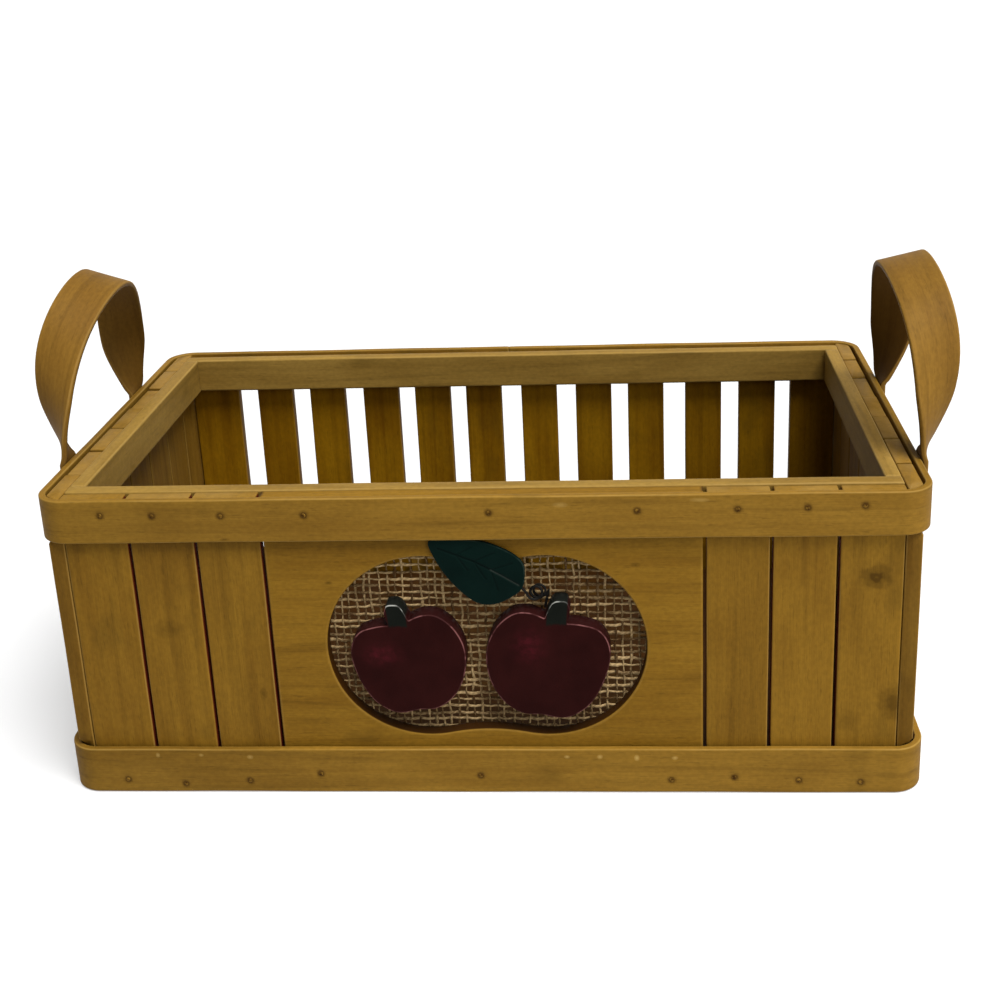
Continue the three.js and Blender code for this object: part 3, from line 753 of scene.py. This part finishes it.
# %% The apples with their stems
apple_curve = [
    (-0.9, 22.8), (-7.4, 25.5), (-14.3, 25.1), (-21.3, 19.6), (-26, 11), (-27.2, 1.9), (-25.4, -8.7),
    (-20, -18.3), (-12, -24), (-3.7, -24.7), (4, -26.4), (10, -25.4), (17.5, -20), (23.5, -10),
    (27.1, 2.5), (26.4, 11), (22.4, 16.9), (15, 19.5), (8.6, 20.2),
]
stem_curve = [(10.4, 26.6), (9.2, 30.4), (7.8, 31), (4.2, 31), (2.6, 30), (1.4, 28)]
apple_back, apple_thickness = -95.1 * mm, 8.6 * mm


def apple_piece(name, node, place, scale, mirrored, blush_place, blush_size):
    """The fields are worked out in the apple's own millimetres: stem is 1 above a shoulder shaped
    as a parabola and near a line that leans by a tenth, and blush is a bell."""
    flip = np.array([-1.0 if mirrored else 1.0, 1.0])
    body = smooth_outline(apple_curve, closed=False)
    outline = np.vstack([body, [apple_curve[-1]], stem_curve]) * flip * scale * mm + place
    if mirrored:
        outline = outline[::-1]
    outline = soften(even_steps(outline, 420), 2)
    points, quads, caps, edge = sawn_shape(
        outline, place, apple_back - apple_thickness, apple_back, 0.6 * mm, 26)
    local = (points[:, [0, 2]] - place) / (scale * mm) * flip
    shoulder = 19.6 - 0.02 * (local[:, 0] - 4.5) ** 2
    lean = 0.1 * (local[:, 1] - 22)
    inside = np.clip((4.6 - np.abs(local[:, 0] - 4.2 - lean)) / 0.5, 0, 1)
    stem = inside * np.clip((local[:, 1] - shoulder) / 0.5, 0, 1)
    dabbed = ((points[:, [0, 2]] - place) / mm - blush_place) / blush_size
    blush = np.exp(-(dabbed**2).sum(axis=1))
    shade = {"edge": edge, "stem": stem, "blush": blush, "grain": points + random.uniform(-4, 4, 3)}
    return make_piece(name, points, quads, "apple_paint", [node], shade, caps)


left_place, right_place = np.array([opening_x, opening_z]) + np.array([(-33.8, -6.6), (26.8, -7.5)]) * mm
right_scale = 0.99
left_apple = apple_piece(
    "left_painted_apple", "left_apple", left_place, 0.92, True, (-11.5, 4.5), (6.5, 4.2))
apple_piece(
    "right_painted_apple", "right_apple", right_place, right_scale, False, (-8, 9.3), (5.5, 6.5))
print("apples of", len(left_apple.data.vertices), "points each")

# %% The carved leaf
leaf_knots = [
    (-22.1, -1.2), (-14.5, -0.4), (-1.1, -1), (10, -5.2), (17.1, -10.8), (18.2, -17.3), (16.7, -23.5),
    (12.5, -27.3), (5.5, -30.6), (-1.5, -30.5), (-8.1, -26), (-15.4, -17.3), (-20, -8.9),
]
leaf_corner = np.array([opening_x, 123 * mm])
midrib = np.array([(-18.3, -4.3), (-10.5, -7.4), (-3.3, -10.3), (3.9, -14.4), (8.3, -17), (15.5, -21.8)])
side_veins = [
    [(-10.5, -7.4), (-6, -14.5)], [(-3.3, -10.3), (1.5, -18.5)], [(3.9, -14.4), (6.5, -24)],
    [(-10.5, -7.4), (-4, -3.6)], [(-3.3, -10.3), (5.5, -6.5)], [(3.9, -14.4), (13, -11.5)],
]


def distance_to_line(points, line):
    """Least distance from each point to a chain of straight stretches."""
    best = np.full(len(points), np.inf)
    for start, end in zip(line[:-1], line[1:]):
        stretch = end - start
        share = np.clip((points - start) @ stretch / (stretch @ stretch), 0, 1)
        best = np.minimum(best, np.linalg.norm(points - start - share[:, None] * stretch, axis=1))
    return best


def leaf_piece(crown=0.5 * mm, vein_depth=0.35 * mm):
    """The veins are grooves as deep as a bell of the distance to them, and paint is worn off the
    right part of the midrib."""
    outline = soften(even_steps(smooth_outline(leaf_knots) * mm, 400), 2) + leaf_corner
    low, high = np.array(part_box("leaf"))
    middle = np.array([(low[0] + high[0]) / 2, (low[2] + high[2]) / 2])
    points, quads, caps, edge = sawn_shape(
        outline, middle, low[1] + crown, high[1], 0.6 * mm, 70, crown)
    flat = (points[:, [0, 2]] - leaf_corner) / mm
    rib = distance_to_line(flat, midrib)
    veins = np.min([distance_to_line(flat, np.array(vein, float)) for vein in side_veins], axis=0)
    cut = np.maximum(np.exp(-((rib / 0.5) ** 2)), 0.6 * np.exp(-((veins / 0.4) ** 2)))
    facing = points[:, 1] < high[1] - 1.2 * mm
    points[:, 1] += vein_depth * cut * facing
    bare = np.exp(-((rib / 0.3) ** 2)) * (flat[:, 0] > 3.5) * facing
    shade = {"edge": edge, "vein": cut * facing, "bare": bare, "grain": points + random.uniform(-4, 4, 3)}
    return make_piece("painted_leaf", points, quads, "leaf_paint", ["leaf"], shade, caps)


painted_leaf = leaf_piece()
print("leaf of", len(painted_leaf.data.vertices), "points")

# %% [markdown]
# ## Wire and brads
#
# The curl is annealed wire wound round a rod. Its line is a helix, and the tube round it takes
# the direction towards the wall as its reference, because the wire never runs that way.

# %% The curl of wire
leaf_back, wire_radius, wire_clearance = -101.4 * mm, 0.6 * mm, 0.8 * mm


def tendril_line(turns=2.5, wound=2.9 * mm, pitch=1.5 * mm, shift=1.3 * mm, steps=40):
    """Behind the leaf, then a helix towards the wall, each turn a little further right than the
    last, then down to the shoulder of the right apple."""
    stalk = leaf_corner + np.array([16.7, -23.5]) * mm
    middle = right_place + np.array([-3.6, 32.9]) * mm
    start_y = leaf_back + wire_clearance
    share = np.linspace(0, turns, round(turns * steps))
    angle = 2 * np.pi * share + np.pi
    curl = np.stack([
        middle[0] + wound * np.cos(angle) + shift * (share - turns / 2), start_y + pitch * share,
        middle[1] + wound * np.sin(angle)], axis=1)
    lead = np.array([[stalk[0] - 3 * mm, start_y, stalk[1]], [stalk[0], start_y, stalk[1] - 1 * mm]])
    shoulder = right_place + right_scale * np.array(apple_curve[0]) * mm
    tail = np.array([[shoulder[0], curl[-1, 1], shoulder[1] + wire_clearance + 1 * mm]])
    knots = np.vstack([lead, curl, tail])
    run = run_along(knots)
    print("wire", round(run[-1] / mm), "mm long")
    return points_at(np.linspace(0, run[-1], 220), run, knots)


def tube_piece(name, slot, node, line, radius, sides=10):
    """line + radius * (p cos a + q sin a), where p is the part of Y square to the line and q is
    square to both."""
    along = unit(np.gradient(line, axis=0))
    p = unit(Y - along * (along @ Y)[:, None])
    q = np.cross(along, p)
    turn = np.linspace(0, 2 * np.pi, sides, endpoint=False)
    ring = p[:, None] * np.cos(turn)[None, :, None] + q[:, None] * np.sin(turn)[None, :, None]
    points = line[:, None] + radius * ring
    quads, caps = grid_quads(len(line), sides), end_rings(len(line), sides)
    return make_piece(name, points, quads, slot, [node], caps=caps)


tube_piece("curled_wire", "wire", "wire_tendril", tendril_line(), wire_radius)

# %% Brad heads
def brad_heads(name, replaced, spots, outward, radius=0.95 * mm, sunk=0.03 * mm):
    """Flat round heads, each a disc turned about its outward axis: out to the rim at a hair
    below the wood, round the rim and down the shank. One mesh holds them all."""
    profile = np.array([(0.05, 0.02), (0.6, 0.0), (0.9, -0.06), (1, -0.2), (1, -0.5), (0.7, -0.9)])
    turn = np.linspace(0, 2 * np.pi, 14, endpoint=False)[:, None]
    circle = np.cross(Z, outward)[:, None] * np.cos(turn) + Z * np.sin(turn)
    reach, height = radius * profile[:, 0, None, None], radius * profile[:, 1, None, None] - sunk
    points = spots[:, None, None] + outward[:, None, None] * height + reach * circle[:, None]
    quads, caps = grid_copies(len(spots), len(profile), len(turn))
    return make_piece(name, points, quads, "brad", replaced, caps=caps)


brad_heads("top_band_brads", [f"top_band_nail_{i}" for i in range(1, 10)], *top_brads)
brad_heads("foot_band_brads", [], *foot_brads)
for side, sign in (("left", -1.0), ("right", 1.0)):
    brad_heads(f"{side}_strap_brads", [f"{side}_handle_nail_{i}" for i in (1, 2)], *strap_brads(side, sign))
print(len(top_brads[0]) + len(foot_brads[0]) + 4, "brads in all")

# %% [markdown]
# ## Finishes
#
# A finish is a set of nodes. Small helpers below place a node and join its sockets, so each
# recipe reads from top to bottom.

# %% Helpers for shader nodes
def fill(tree, node, inputs):
    """Joins a node's inputs, by name or number, to sockets, or sets them. Colours are triples."""
    for key, value in inputs.items():
        socket = node.inputs[key]
        if isinstance(value, bpy.types.NodeSocket):
            tree.links.new(value, socket)
        else:
            socket.default_value = (*value, 1) if socket.type == "RGBA" else value


def place_node(tree, kind, inputs=None, **settings):
    node = tree.nodes.new(kind)
    for name, value in settings.items():
        setattr(node, name, value)
    fill(tree, node, inputs or {})
    return node


def maths(tree, operation, *values):
    return place_node(tree, "ShaderNodeMath", dict(enumerate(values)), operation=operation).outputs[0]


def plus(tree, *values):
    return maths(tree, "ADD", *values)


def times(tree, *values):
    return maths(tree, "MULTIPLY", *values)


def vectors(tree, operation, *values):
    return place_node(tree, "ShaderNodeVectorMath", dict(enumerate(values)), operation=operation).outputs


def colour_mix(tree, share, first, second):
    return place_node(tree, "ShaderNodeMix", {0: share, 6: first, 7: second}, data_type="RGBA").outputs[2]


def ranged(tree, value, from_low, from_high, to_low=0.0, to_high=1.0):
    return place_node(tree, "ShaderNodeMapRange", {
        "Value": value, "From Min": from_low, "From Max": from_high, "To Min": to_low,
        "To Max": to_high}, interpolation_type="SMOOTHSTEP").outputs["Result"]


def noise(tree, vector, scale, detail=2.0, distortion=0.0):
    """Noise on a vector that is first stretched by scale, a triple."""
    stretched = vectors(tree, "MULTIPLY", vector, scale)[0]
    return place_node(tree, "ShaderNodeTexNoise", {
        "Vector": stretched, "Scale": 1.0, "Detail": detail, "Distortion": distortion}).outputs["Fac"]


def new_group(name, inputs, outputs):
    tree = bpy.data.node_groups.new(name, "ShaderNodeTree")
    for label, kind in inputs.items():
        tree.interface.new_socket(label, in_out="INPUT", socket_type=kind)
    for label, kind in outputs.items():
        tree.interface.new_socket(label, in_out="OUTPUT", socket_type=kind)
    return tree, tree.nodes.new("NodeGroupInput").outputs, tree.nodes.new("NodeGroupOutput")


# %% [markdown]
# ### Stained wood
#
# One recipe serves every board. Soft clouds and streaks follow the grain, and the year rings are
# the contour lines of a smooth figure, which is how a flat cut through a bent trunk shows them.
# Fine fibres and flecks lie over them. Then come a pale rubbed edge, brown marks (knots, and
# painted shade under the top band, on the left of the bands and at the foot of the back laths),
# dark stain round the brads, stain pooled between the laths, and painted shade on the straps'
# undersides.

# %% The recipe for stained wood
FLOAT, VECTOR, COLOUR = "NodeSocketFloat", "NodeSocketVector", "NodeSocketColor"


def stained_wood_group():
    tree, given, out = new_group(
        "stained_wood",
        {"Grain": VECTOR, "Tone": FLOAT, "Edge": FLOAT, "Stain": FLOAT, "Marked": FLOAT, "Worn": FLOAT,
         "Light": COLOUR, "Dark": COLOUR, "Pale": COLOUR, "Pooled_and_shade": COLOUR},
        {"Color": COLOUR, "Roughness": FLOAT, "Height": FLOAT})
    grain = given["Grain"]
    clouds = noise(tree, grain, (14, 36, 36), detail=3, distortion=0.7)
    streaks = noise(tree, grain, (4, 210, 210), detail=3, distortion=0.5)
    fibres = noise(tree, grain, (70, 2300, 2300), detail=2)
    flecks = ranged(tree, noise(tree, grain, (150, 1300, 1300), detail=1), 0.64, 0.72)
    contour = times(tree, noise(tree, grain, (1.7, 33, 33), detail=1, distortion=0.3), 62)
    ring = ranged(tree, maths(tree, "SINE", contour), 0.35, 1.0)
    ring = times(tree, ring, ranged(tree, streaks, 0.35, 0.65))
    figure = plus(tree, times(tree, clouds, 0.62), times(tree, streaks, 0.38))
    colour = colour_mix(tree, ranged(tree, figure, 0.3, 0.7), given["Light"], given["Dark"])
    shade = plus(tree, 1.0, times(tree, given["Tone"], 0.06))
    mottle = noise(tree, grain, (420, 640, 640), detail=2)
    for dimmer in (ranged(tree, ring, 0, 1, 1.0, 0.88), ranged(tree, flecks, 0, 1, 1.0, 0.86),
                   ranged(tree, fibres, 0.3, 0.7, 0.95, 1.05), ranged(tree, mottle, 0.3, 0.7, 0.93, 1.07)):
        shade = times(tree, shade, dimmer)
    smudge = ranged(tree, noise(tree, grain, (30, 48, 48), detail=3), 0.58, 0.75, 0, 0.3)
    colour = colour_mix(tree, smudge, vectors(tree, "MULTIPLY", colour, shade)[0], (0.07, 0.038, 0.004))
    rub = times(tree, given["Edge"], ranged(tree, clouds, 0.35, 0.6, 0.06, 0.27))
    pale = maths(tree, "MAXIMUM", rub, given["Worn"])
    colour = colour_mix(tree, pale, colour, given["Pale"])
    # Dark marks: knots, and painted shade where a list of marks gives it.
    colour = colour_mix(tree, given["Marked"], colour, (0.042, 0.019, 0.001))
    colour = colour_mix(tree, given["Stain"], colour, given["Pooled_and_shade"])
    rough = plus(tree, 0.5, times(tree, fibres, 0.16))
    height = plus(tree, times(tree, fibres, 0.7), times(tree, streaks, 0.4))
    fill(tree, out, {
        "Color": colour, "Roughness": plus(tree, rough, times(tree, pale, 0.1)),
        "Height": maths(tree, "SUBTRACT", height, times(tree, flecks, 0.5))})
    return tree


stained_wood = stained_wood_group()
print("stained wood has", len(stained_wood.nodes), "nodes")

# %% [markdown]
# Knots, smudges and chips sit at places of their own, and so does painted shade: under the top
# band, on the left of the bands and at the foot of the back laths. Each is a soft oval of a few
# rings, worked out from the distance to its middle, with a little noise so that its rim isn't even.


# %% The recipe for one mark
def mark_group():
    """1 inside the oval and 0 outside, where the distance is the length of (place - middle) /
    radii plus a wobble."""
    tree, given, out = new_group(
        "mark", {"Place": VECTOR, "Middle": VECTOR, "Radii": VECTOR}, {"Mask": FLOAT})
    offset = vectors(tree, "SUBTRACT", given["Place"], given["Middle"])[0]
    distance = vectors(tree, "LENGTH", vectors(tree, "DIVIDE", offset, given["Radii"])[0])["Value"]
    wobble = times(tree, noise(tree, given["Place"], (330, 330, 330), detail=3), 0.6)
    distance = plus(tree, distance, maths(tree, "SUBTRACT", wobble, 0.3))
    ringed = ranged(tree, maths(tree, "SINE", times(tree, distance, 11)), -1, 1, 0.7, 1)
    inside = ranged(tree, distance, 0.25, 1.0, 1.0, 0.0)
    fill(tree, out, {"Mask": times(tree, inside, ringed)})
    return tree


mark = mark_group()


def marks(tree, spots):
    """The greatest of the masks of several ovals on the front or the back, each given as x, z,
    half width and half height in millimetres, and its strength."""
    place = place_node(tree, "ShaderNodeTexCoord").outputs["Object"]
    any_depth = 100
    total = 0.0
    for x, z, half_width, half_height, strength in spots:
        node = place_node(tree, "ShaderNodeGroup", {
            "Place": place, "Middle": (x * mm, 0, z * mm),
            "Radii": (half_width * mm, any_depth, half_height * mm)}, node_tree=mark)
        total = maths(tree, "MAXIMUM", total, times(tree, node.outputs["Mask"], strength))
    return total


# %% Materials of the woods
def new_material(name):
    material = bpy.data.materials.new(name)
    material.use_nodes = True
    tree = material.node_tree
    shader = next(node for node in tree.nodes if node.type == "BSDF_PRINCIPLED")
    return material, tree, shader


def field(tree, name, output="Fac"):
    return place_node(tree, "ShaderNodeAttribute", attribute_name=name).outputs[output]


def join_finish(tree, shader, recipe, bump, specular):
    bumped = place_node(tree, "ShaderNodeBump", {
        "Strength": bump, "Distance": 0.2 * mm, "Height": recipe.outputs["Height"]})
    fill(tree, shader, {
        "Base Color": recipe.outputs["Color"], "Roughness": recipe.outputs["Roughness"],
        "Normal": bumped.outputs["Normal"], "Specular IOR Level": specular})


# The pooled colour is real pooled stain on most boards, and it is also the colour of the painted shade on
# the straps' undersides.
def wood_material(name, light, dark, pale, dark_marks=(), pale_marks=(), pooled=(0.028, 0.0095, 0.0006)):
    material, tree, shader = new_material(name)
    inputs = {label: field(tree, label.lower()) for label in ("Tone", "Edge", "Stain")}
    inputs |= {"Grain": field(tree, "grain", "Vector"), "Light": light, "Dark": dark, "Pale": pale,
               "Pooled_and_shade": pooled}
    for label, spots in (("Marked", dark_marks), ("Worn", pale_marks)):
        if spots:
            inputs[label] = marks(tree, spots)
    recipe = place_node(tree, "ShaderNodeGroup", inputs, node_tree=stained_wood)
    join_finish(tree, shader, recipe, 0.3, specular=0.06)
    return material


# The last oval, wide and low under the top band, is painted shadow cast by the band on the front laths and
# the panel. The others are knots and marks.
front_knots_and_band_shadow = [
    (166.7, 102.8, 8.5, 7.5, 0.85), (176, 42.5, 9, 11, 0.65), (157, 34, 7, 8, 0.3),
    (-65.3, 102.1, 2.4, 1.3, 0.6), (66.7, 109.3, 2.6, 1.5, 0.5), (-137.5, 80.4, 9, 6, 0.35),
    (-98.5, 48, 2.2, 4, 0.5), (-128, 84, 3, 9, 0.2), (-60, 125, 280, 9, 0.55),
]
foot_chips = [
    (-148.6, 19.2, 1.2, 1.5, 0.6), (-128.9, 19.2, 1.4, 1, 0.5), (-106.7, 18.2, 1.8, 1.4, 0.5),
    (35.1, 18.3, 1.6, 1.2, 0.6), (49.6, 18.3, 1.5, 1.4, 0.6), (65.8, 17.8, 1.4, 2, 0.7),
    (82.4, 17.8, 1.8, 1.2, 0.6), (35.7, 138.8, 4, 1.6, 0.3), (93.4, 140.3, 5, 1.2, 0.3),
]
# The two wide ovals at x -150 are painted shade that darkens the left part of the foot band and of the top
# band. The small ones are nicks.
band_nicks_and_shade = [
    (-107, 124.6, 3, 1, 0.6), (-12, 131, 6, 1, 0.2), (120, 128, 7, 0.9, 0.2), (-150, 10, 110, 28, 0.24),
    (-150, 134, 110, 28, 0.16),
]
# A wide dark oval along the foot of the back laths is painted shade, which dims what shows through the
# burlap's holes.
painted_shade_back_foot = [(0, 4, 400, 27, 0.95)]


def dress(slot, material):
    """Gives every piece of a slot its material."""
    found = [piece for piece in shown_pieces() if piece.get("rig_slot") == slot]
    for piece in found:
        piece.data.materials.clear()
        piece.data.materials.append(material)
    print(slot, "on", len(found), "pieces")


# %% Light wood, dark wood and rubbed edge of each wood, then its dark marks (knots and painted shade), pale marks and stain
front_pale = (0.45, 0.29, 0.08)
woods = {
    "front_wood": [
        (0.202, 0.104, 0.010), (0.149, 0.072, 0.0065), front_pale, front_knots_and_band_shadow, (), (0.11, 0.012, 0.006)],
    "band_wood": [
        (0.238, 0.127, 0.016), (0.175, 0.089, 0.010), (0.47, 0.31, 0.09), band_nicks_and_shade, foot_chips],
    "handle_wood": [(0.198, 0.102, 0.015), (0.148, 0.072, 0.0100), (0.4, 0.25, 0.07)],
    "inside_wood": [(0.283, 0.170, 0.035), (0.205, 0.116, 0.021), (0.46, 0.31, 0.1)],
    "side_wood": [(0.21, 0.110, 0.013), (0.133, 0.063, 0.006), (0.42, 0.27, 0.08)],
    "back_wood": [(0.256, 0.124, 0.003), (0.15, 0.062, 0.001), (0.4, 0.25, 0.06), painted_shade_back_foot],
}
for slot, recipe in woods.items():
    dress(slot, wood_material(slot, *recipe))
panel_board.data.materials[0] = wood_material(
    "panel_wood", (0.218, 0.113, 0.0105), (0.160, 0.078, 0.0065), front_pale, front_knots_and_band_shadow)
# The bottom board is near black: painted shade, so that the burlap's holes look dark.
floor_board.data.materials[0] = wood_material(
    "bottom_wood_painted_shade", (0.034, 0.012, 0.001), (0.02, 0.007, 0.0006), (0.2, 0.12, 0.03))

# %% [markdown]
# ### Burlap
#
# Jute is straw-coloured on its high fibres, and painted shade darkens the grooves of its twist. The
# twist is a slanted stripe in the yarn's own coordinates, along it and round it.

# %% The burlap's finish
def burlap_material():
    material, tree, shader = new_material("burlap")
    thread, tone = field(tree, "thread", "Vector"), field(tree, "tone")
    along, around = place_node(tree, "ShaderNodeSeparateXYZ", {0: thread}).outputs[:2]
    slant = plus(tree, times(tree, along, 2600), times(tree, around, 1600))
    twist = ranged(tree, maths(tree, "SINE", slant), -1, 1)
    fuzz = noise(tree, thread, (900, 2600, 1), detail=2)
    level = plus(tree, times(tree, tone, 0.28), times(tree, fuzz, 0.9))
    colour = colour_mix(tree, ranged(tree, level, 0.15, 0.85), (0.06, 0.03, 0.011), (0.5, 0.35, 0.17))
    # Painted shade in the grooves of the twist, mixed into the colour below.
    shadow = times(tree, maths(tree, "SUBTRACT", 1, twist), 0.3)
    bumped = place_node(tree, "ShaderNodeBump", {
        "Strength": 0.6, "Distance": 0.15 * mm, "Height": plus(tree, twist, fuzz)})
    fill(tree, shader, {
        "Base Color": colour_mix(tree, shadow, colour, (0.07, 0.033, 0.01)), "Roughness": 0.95,
        "Specular IOR Level": 0.05, "Normal": bumped.outputs["Normal"]})
    return material


dress("burlap", burlap_material())

# %% [markdown]
# ### Paint
#
# Brushed paint keeps faint marks of the brush and rubs through at sharp edges. The apples carry
# a soft blush dabbed on with a nearly dry brush, and their stems are painted dark green.

# %% The recipe for hand paint
def hand_paint_group():
    tree, given, out = new_group(
        "hand_paint",
        {"Grain": VECTOR, "Paint": COLOUR, "Bare": COLOUR, "Edge": FLOAT, "Rubbed": FLOAT},
        {"Color": COLOUR, "Roughness": FLOAT, "Height": FLOAT})
    grain = given["Grain"]
    brush = noise(tree, grain, (900, 260, 240), detail=3)
    patch = noise(tree, grain, (220, 220, 220), detail=2)
    shade = ranged(tree, noise(tree, grain, (60, 60, 60), detail=3), 0.3, 0.7, 0.85, 1.2)
    paint = vectors(tree, "MULTIPLY", given["Paint"], shade)[0]
    rub = times(tree, given["Edge"], ranged(tree, patch, 0.4, 0.6, 0.15, 1.0))
    rub = times(tree, rub, given["Rubbed"])
    fill(tree, out, {
        "Color": colour_mix(tree, rub, paint, given["Bare"]),
        "Roughness": ranged(tree, brush, 0.3, 0.7, 0.38, 0.55),
        "Height": plus(tree, brush, times(tree, patch, 0.4))})
    return tree


hand_paint = hand_paint_group()


# %% Apples, leaf, wire and brads
def paint_material(name, colours, rubbed):
    """colours gives the paint and what shows where it is rubbed through."""
    material, tree, shader = new_material(name)
    paint, bare = colours(tree)
    recipe = place_node(tree, "ShaderNodeGroup", {
        "Grain": field(tree, "grain", "Vector"), "Edge": field(tree, "edge"), "Paint": paint,
        "Bare": bare, "Rubbed": rubbed}, node_tree=hand_paint)
    join_finish(tree, shader, recipe, 0.25, specular=0.02)
    return material


def apple_colours(tree):
    dabs = noise(tree, field(tree, "grain", "Vector"), (330, 330, 330), detail=3)
    blush = times(tree, field(tree, "blush"), ranged(tree, dabs, 0.35, 0.65, 0.25, 0.8))
    burgundy = colour_mix(tree, blush, (0.0178, 0.0034, 0.0030), (0.057, 0.0065, 0.0095))
    stem = field(tree, "stem")
    paint = colour_mix(tree, stem, burgundy, (0.0060, 0.0070, 0.0054))
    return paint, colour_mix(tree, stem, (0.24, 0.095, 0.09), (0.5, 0.5, 0.45))


def leaf_colours(tree):
    green = colour_mix(tree, times(tree, field(tree, "vein"), 0.6),
                       (0.0017, 0.0074, 0.0058), (0.0008, 0.0028, 0.0022))
    green = colour_mix(tree, times(tree, field(tree, "bare"), 0.25), green, (0.09, 0.11, 0.09))
    return green, (0.02, 0.0325, 0.0265)


dress("apple_paint", paint_material("apple_paint", apple_colours, 0.6))
dress("leaf_paint", paint_material("leaf_paint", leaf_colours, 0.5))


def metal_material(name, light, dark, metallic, roughness):
    """Dull metal whose tarnish comes in small patches."""
    material, tree, shader = new_material(name)
    place = place_node(tree, "ShaderNodeTexCoord").outputs["Object"]
    tarnish = noise(tree, place, (700, 700, 700), detail=3)
    fill(tree, shader, {
        "Base Color": colour_mix(tree, ranged(tree, tarnish, 0.35, 0.65), light, dark),
        "Roughness": ranged(tree, tarnish, 0.3, 0.7, roughness - 0.1, roughness + 0.15),
        "Metallic": metallic, "Specular IOR Level": 0.08})
    return material


dress("wire", metal_material("dark_wire", (0.009, 0.008, 0.007), (0.004, 0.0035, 0.003), 0.2, 0.5))
dress("brad", metal_material("stained_steel", (0.19, 0.10, 0.012), (0.045, 0.018, 0.001), 0.2, 0.6))

# %% [markdown]
# ## Stage
#
# A pale floor carries the shadow. It takes a wide soft sun from above, in front and a little to
# the right, and a large lamp on the right lights the front. A little emission that only camera
# and glossy rays see takes the empty floor to white without lighting the basket.

# %% Floor
floor_half_size, floor_drop = 20, 0.2 * mm
floor_mesh = bpy.data.meshes.new("floor")
corners = np.array([(-1, -1), (1, -1), (1, 1), (-1, 1)]) * floor_half_size
floor_mesh.from_pydata(np.column_stack([corners, np.full(4, -floor_drop)]).tolist(), [], [(0, 1, 2, 3)])
add_object("floor", floor_mesh)


def seen_by(tree, *rays):
    """1 for the named kinds of ray and 0 for others."""
    kinds = place_node(tree, "ShaderNodeLightPath").outputs
    seen = 0.0
    for ray in rays:
        seen = maths(tree, "MAXIMUM", seen, kinds[ray])
    return seen


def floor_material():
    material, tree, shader = new_material("pale_floor")
    direct = seen_by(tree, "Is Camera Ray", "Is Glossy Ray")
    fill(tree, shader, {
        "Base Color": (0.5, 0.5, 0.5), "Roughness": 0.9, "Specular IOR Level": 0.0,
        "Emission Color": (1, 1, 1), "Emission Strength": times(tree, direct, 0.38)})
    return material


floor_mesh.materials.append(floor_material())

# %% World and lamps
world = bpy.data.worlds.new("soft_room")
bpy.context.scene.world = world
world.use_nodes = True
sky = world.node_tree
background = next(node for node in sky.nodes if node.type == "BACKGROUND")
plain = seen_by(sky, "Is Camera Ray", "Is Glossy Ray", "Is Transmission Ray")
ambient = 0.2
fill(sky, background, {
    "Color": (1, 1, 1), "Strength": plus(sky, ambient, times(sky, plain, 1 - ambient))})


def stand_at(item, place, x, y, z):
    """Puts an object at a place, with its axes along three directions."""
    item.matrix_world = Matrix([[x[k], y[k], z[k], place[k]] for k in range(3)] + [[0, 0, 0, 1]])


def aimed(name, lamp, place, target):
    """A lamp at place whose -Z axis points at the target."""
    z = np.subtract(place, target) / np.linalg.norm(np.subtract(place, target))
    x = np.cross(Z, z) / np.linalg.norm(np.cross(Z, z))
    stand_at(add_object(name, lamp), place, x, np.cross(z, x), z)


sun = bpy.data.lights.new("wide_sun", "SUN")
sun.energy = 1.45 * math.pi
sun.angle = math.radians(35)
aimed("wide_sun", sun, (0.3, -0.3, 1.0), (0, 0, 0))
window = bpy.data.lights.new("window", "AREA")
window.shape = "DISK"
window.size = 0.8
window.energy = 4.5
aimed("window", window, (0.75, -0.8, 0.45), (0, 0, 0.08))

# %% [markdown]
# ## Camera
#
# The camera was worked out from the rim, the foot and the laths: it stands a little to the right
# and looks down by about eighteen degrees, with the picture's middle off the lens axis.

# %% Place the camera
yaw, pitch, roll = np.radians([4.017, 17.904, 2.305])
focal_pixels, frame_pixels, sensor_width = 1404.643, 1000, 36
axis_pixels = (527.116, 360.008)
turn_z = np.array([[math.cos(yaw), -math.sin(yaw), 0], [math.sin(yaw), math.cos(yaw), 0], [0, 0, 1]])
tip = np.array([[1, 0, 0], [0, math.cos(pitch), math.sin(pitch)], [0, -math.sin(pitch), math.cos(pitch)]])
lean = np.array([[math.cos(roll), 0, math.sin(roll)], [0, 1, 0], [-math.sin(roll), 0, math.cos(roll)]])
right, forward, up = (turn_z @ tip @ lean).T
camera_data = bpy.data.cameras.new("camera")
camera_data.sensor_width = sensor_width
camera_data.lens = sensor_width * focal_pixels / frame_pixels
camera_data.shift_x = (frame_pixels / 2 - axis_pixels[0]) / frame_pixels
camera_data.shift_y = (axis_pixels[1] - frame_pixels / 2) / frame_pixels
camera_data.clip_start = 0.01
camera = add_object("camera", camera_data)
stand = np.array([62.031, -639.095, 375.298]) * mm
stand_at(camera, stand, right, up, -forward)
bpy.context.scene.camera = camera
bpy.context.scene.view_settings.view_transform = "Standard"
print("camera at", stand)
